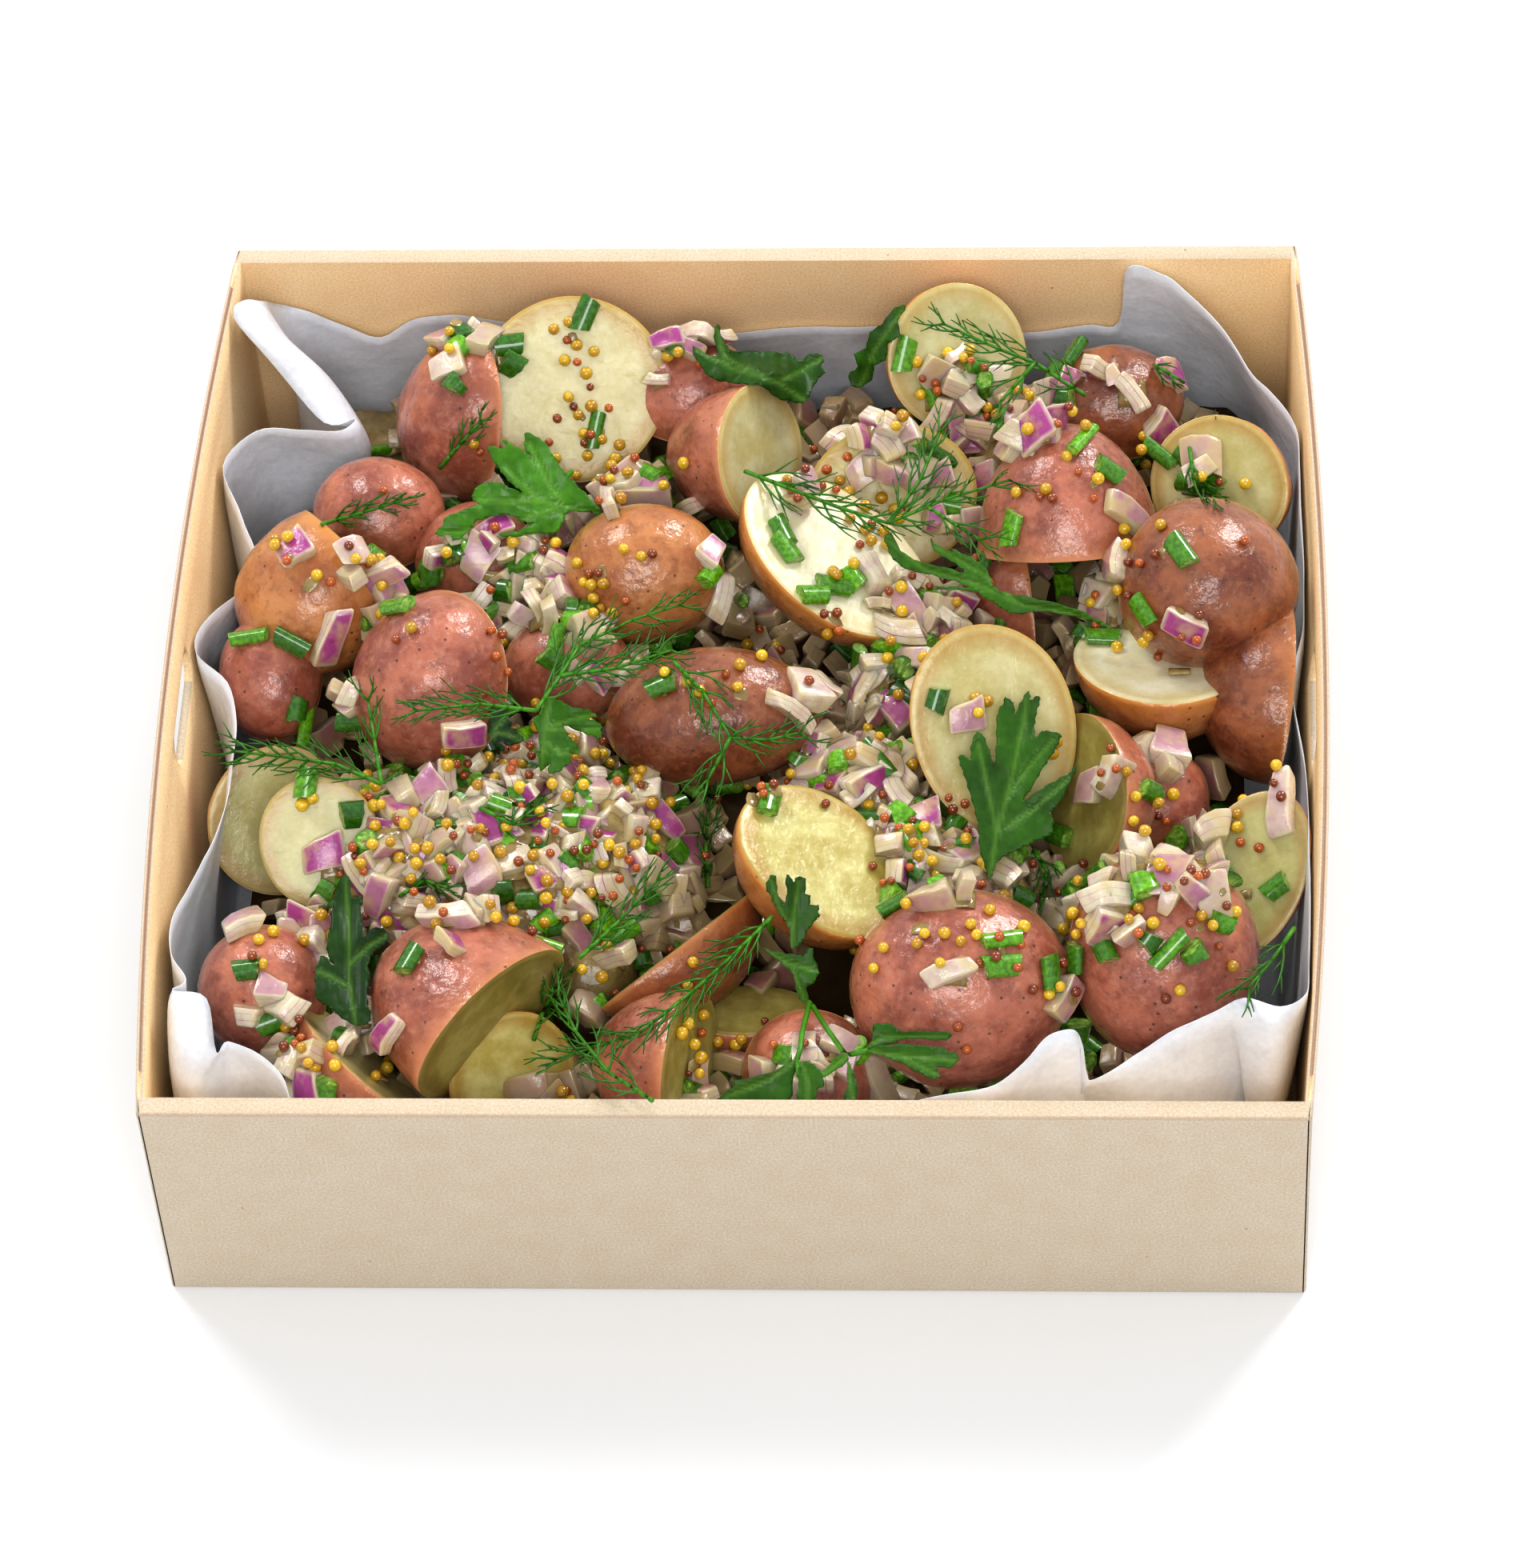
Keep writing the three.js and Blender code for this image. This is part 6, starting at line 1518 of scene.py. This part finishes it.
def buildLeaf(reading, surface):
    corner, scale = Vector(reading["corner"]), reading["scale"]
    bm = bmesh.new()
    mark = bm.verts.layers.float_color.new("mark")
    for number, part in enumerate(reading["parts"]):
        ribs = [[corner + Vector(point) / scale for point in rib] for rib in part["ribs"]]
        sheet = dividedSheet(toothed([corner + Vector(point) / scale for point in part["outline"]]))
        spots = [vert.co.copy() for vert in sheet.verts]
        seen = [seenDepth(spot.x, spot.y, surface, leafShape["clear"]) for spot in spots]
        rays, onSurface, onFood = zip(*seen)
        links = np.array([[vert.index for vert in edge.verts] for edge in sheet.edges])
        reach = drapedReach(np.array(onSurface), np.array(onFood) - leafShape["above"] * number, links)
        made = []
        for spot, ray, depth in zip(spots, rays, reach):
            gap = min(fromPolyline(spot.xy, rib) for rib in ribs)
            vein = math.exp(-(gap / leafShape["ribWidth"]) ** 2)
            raised = leafShape["quilt"] * (1 - math.exp(-(gap / leafShape["quiltWidth"]) ** 2))
            ripple = leafShape["ripple"] * (0.5 + noise.noise(spot / leafShape["rippleSize"]))
            raised += ripple + leafShape["crumple"] * noise.noise(spot / leafShape["crumpleSize"])
            tone = part["tone"] + leafShape["toneWave"] * noise.noise(spot / leafShape["toneSize"])
            made.append(bm.verts.new(cameraSpot + ray * (depth - raised)))
            made[-1][mark] = (vein, 0, max(0, min(1, tone)), 1)
        for face in sheet.faces:
            bm.faces.new([made[vert.index] for vert in face.verts])
        sheet.free()
    return toMesh(bm)


# Threads and stems: thin tapered tubes along a few points, joined
def tubes(name, lines, material, replaces=(), sides=5):
    points, faces, thick = [], [], []
    for line, radii in lines:
        first = len(points)
        for index, spot in enumerate(line):
            way = (line[min(index + 1, len(line) - 1)] - line[max(index - 1, 0)]).normalized()
            side = way.orthogonal().normalized()
            other = way.cross(side)
            for corner in range(sides):
                turn = 2 * math.pi * corner / sides
                points.append(spot + (side * math.cos(turn) + other * math.sin(turn)) * radii[index])
                thick.append(min(1, radii[index] / 0.5))
        for index, corner in itertools.product(range(len(line) - 1), range(sides)):
            low = first + index * sides
            beside = (corner + 1) % sides
            faces.append([low + corner, low + beside, low + sides + beside, low + sides + corner])
        faces.append([first + corner for corner in reversed(range(sides))])
        faces.append([first + (len(line) - 1) * sides + corner for corner in range(sides)])
    mesh = bpy.data.meshes.new(name)
    mesh.from_pydata(points, [], faces)
    mesh.attributes.new("thick", "FLOAT", "POINT").data.foreach_set("value", thick)
    return addPiece(name, mesh, [material], replaces)


dillMaterial, leafMaterial = dillGreen(), parsleyLeaf()
for name, reading in leafReadings.items():
    surface = restingSurface(name)
    leafPiece = addPiece("leafOf_" + name, buildLeaf(reading, surface), [leafMaterial], [name])
    thicken(leafPiece, leafShape["thickness"])
    stems = []
    for line in stemReadings.get(name, []):
        along = []
        for u, v in line:
            ray, onSurface, onFood = seenDepth(u, v, surface, leafShape["stemClear"])
            along.append(cameraSpot + ray * (min(onSurface, onFood) - leafShape["stemLift"]))
        stems.append((along, [leafShape["stemRadius"]] * len(along)))
    if stems:
        tubes("stemOf_" + name, stems, dillMaterial, sides=8)
print("parsley laid")

# Dill: stems in photo pixels; feathered threads are added along them
dillReadings = {
    "dill_01": [[(1357, 494), (1325, 474), (1294, 453), (1251, 437), (1180, 405)],
                [(1294, 453), (1251, 502)]],
    "dill_02": [[(931, 589), (985, 610), (1050, 635), (1110, 654), (1180, 625), (1262, 600)],
                [(1110, 654), (1150, 600), (1175, 540)], [(1160, 634), (1225, 675)]],
    "dill_03": [[(670, 888), (600, 880), (520, 888)],
                [(670, 888), (700, 845), (724, 807), (790, 775), (850, 756)],
                [(700, 845), (770, 835), (839, 813)]],
    "dill_04": [[(477, 980), (420, 955), (350, 945), (293, 939)], [(477, 980), (468, 925), (460, 876)]],
    "dill_05": [[(842, 827), (879, 865), (913, 922), (960, 925), (1000, 916)], [(913, 922), (885, 974)]],
    "dill_06": [[(965, 1146), (915, 1195), (867, 1238), (800, 1290), (740, 1310), (695, 1324)]],
    "dill_07": [[(724, 1198), (775, 1150), (822, 1100)]],
    "dill_08": [[(816, 1376), (760, 1340), (720, 1290), (698, 1244)]],
    "dill_09": [[(1618, 1160), (1590, 1200), (1560, 1235)]],
}
looseDill = [
    [(302, 640), (335, 625), (368, 612)], [(403, 655), (455, 640), (512, 622)],
    [(550, 585), (575, 555), (600, 528)], [(667, 1300), (680, 1260), (701, 1222)],
    [(885, 1110), (882, 1050), (888, 995)], [(330, 655), (345, 645)],
    [(1445, 434), (1443, 456), (1480, 478), (1513, 499)], [(1487, 560), (1492, 600), (1515, 620)],
    [(600, 1010), (640, 1030), (670, 1010)], [(500, 1120), (530, 1100), (560, 1110)],
    [(1290, 1060), (1310, 1090), (1300, 1120)],
]
dillShape = {"stem": 0.5, "thread": 0.32, "spacing": 20, "reach": 58, "looseReach": 0.6, "lean": 38,
             "clear": 0.7, "lift": 3, "arch": 0.5, "missing": 0.12, "branchAt": (0.3, 0.6),
             "branchTurn": (16, 34), "branchReach": (0.32, 0.55)}


def depthAt(u, v, surface=None):
    _, onSurface, onFood = seenDepth(u, v, surface)
    return min(onSurface, onFood) - dillShape["clear"]


def thread(ends, surface, radii, rise, threads):
    near = [depthAt(spot.x, spot.y, surface) for spot in (ends[0], ends[2])]
    if max(near) > farAway / 2:
        return
    points = []
    for step in range(5):
        t = step / 4
        spot = bentLine(*ends, t)
        depth = min(near[0] * (1 - t) + near[1] * t - rise * t, depthAt(spot.x, spot.y) - 0.2)
        arch = dillShape["arch"] * math.sin(math.pi * t)
        points.append(cameraSpot + pixelRay(spot.x, spot.y) * (depth - arch))
    threads.append((points, [radii[0] + (radii[1] - radii[0]) * step / 4 for step in range(5)]))


def turned(way, degrees):
    cos, sin = math.cos(math.radians(degrees)), math.sin(math.radians(degrees))
    return Vector((way.x * cos - way.y * sin, way.x * sin + way.y * cos))


def frond(line, surface, reach, threads):
    line = [Vector(point) for point in line]
    stops = []
    for start, end in zip(line, line[1:]):
        steps = max(1, round((end - start).length / dillShape["spacing"]))
        way = (end - start).normalized()
        stops += [(start.lerp(end, step / steps), way) for step in range(steps)]
    stops.append((line[-1], way))
    for index, ((spot, _), (far, _)) in enumerate(zip(stops, stops[1:])):
        thick = dillShape["stem"] * (1 - 0.5 * index / len(stops))
        thread([spot, spot.lerp(far, 0.5), far], surface, (thick, thick * 0.95), 0, threads)
    thin = dillShape["thread"]
    for index, (spot, way) in enumerate(stops[1:], 1):
        for sign in (-1, 1):
            if random.random() < dillShape["missing"]:
                continue
            long = reach * random.uniform(0.6, 1.1) * (1.15 - 0.45 * (index / len(stops)))
            lean = random.gauss(dillShape["lean"], 9) * sign
            bend = spot + turned(way, lean) * long * 0.5
            tip = spot + turned(way, lean * 0.55) * long
            rise = random.uniform(0, dillShape["lift"])
            thread([spot, bend, tip], surface, (thin, thin * 0.35), rise, threads)
            for at in dillShape["branchAt"]:
                base = (spot * (1 - at) + bend * at) * (1 - at) + (bend * (1 - at) + tip * at) * at
                side = random.choice((-1, 1)) * random.uniform(*dillShape["branchTurn"])
                run = turned(tip - spot, side).normalized() * long
                far = base + run * random.uniform(*dillShape["branchReach"])
                middle = base.lerp(far, 0.5) + (tip - spot).normalized() * -2
                thread([base, middle, far], surface, (thin * 0.8, thin * 0.3), rise * at, threads)


random.seed(41)
for name, lines in dillReadings.items():
    surface = restingSurface(name)
    threads = []
    for line in lines:
        frond(line, surface, dillShape["reach"], threads)
    tubes("frondOf_" + name, threads, dillMaterial, [name])
threads = []
for line in looseDill:
    frond(line, None, dillShape["reach"] * dillShape["looseReach"], threads)
tubes("looseDill", threads, dillMaterial)
print("dill laid")

# White sweep and soft studio light, brightest from above and a little behind
studio = {"zenith": 0.82, "horizon": 0.8, "gamma": 0.87, "floor": 4.0, "aim": (0, 0, 0.04), "lamps": [
    {"name": "windowRight", "spot": (0.75, 1.0, 1.05), "size": (0.4, 0.46), "power": 13},
    {"name": "windowLeft", "spot": (-0.7, 0.7, 1.2), "size": (0.36, 0.36), "power": 8},
    {"name": "frontFill", "spot": (0.1, -1.5, 1.7), "size": (1.0, 0.7), "power": 20}]}
bm = bmesh.new()
bmesh.ops.create_grid(bm, x_segments=2, y_segments=2, size=studio["floor"] / 2)
floor = bpy.data.objects.new("whiteSweep", toMesh(bm))
floor.data.materials.append(sweepTable())
scene.collection.objects.link(floor)
world = bpy.data.worlds.new("studioWhite")
world.use_nodes = True
sky = world.node_tree
background = sky.nodes["Background"].inputs
background["Color"].default_value = (1, 1, 1, 1)
height = addNode(sky, "SeparateXYZ", {0: addNode(sky, "TexCoord", out=0)}, 2)
glow = addNode(sky, "MapRange", {0: height, 3: studio["horizon"], 4: studio["zenith"]})
sky.links.new(glow, background["Strength"])
scene.world = world
for lamp in studio["lamps"]:
    softbox = bpy.data.lights.new(lamp["name"], "AREA")
    softbox.shape = "RECTANGLE"
    softbox.size, softbox.size_y = lamp["size"]
    softbox.energy = lamp["power"]
    holder = bpy.data.objects.new(lamp["name"], softbox)
    aim = Vector(studio["aim"]) - Vector(lamp["spot"])
    holder.matrix_world = Matrix.Translation(lamp["spot"]) @ aim.to_track_quat("-Z", "Y").to_matrix().to_4x4()
    scene.collection.objects.link(holder)
scene.view_settings.view_transform = "Standard"
scene.view_settings.gamma = studio["gamma"]
print("lit")
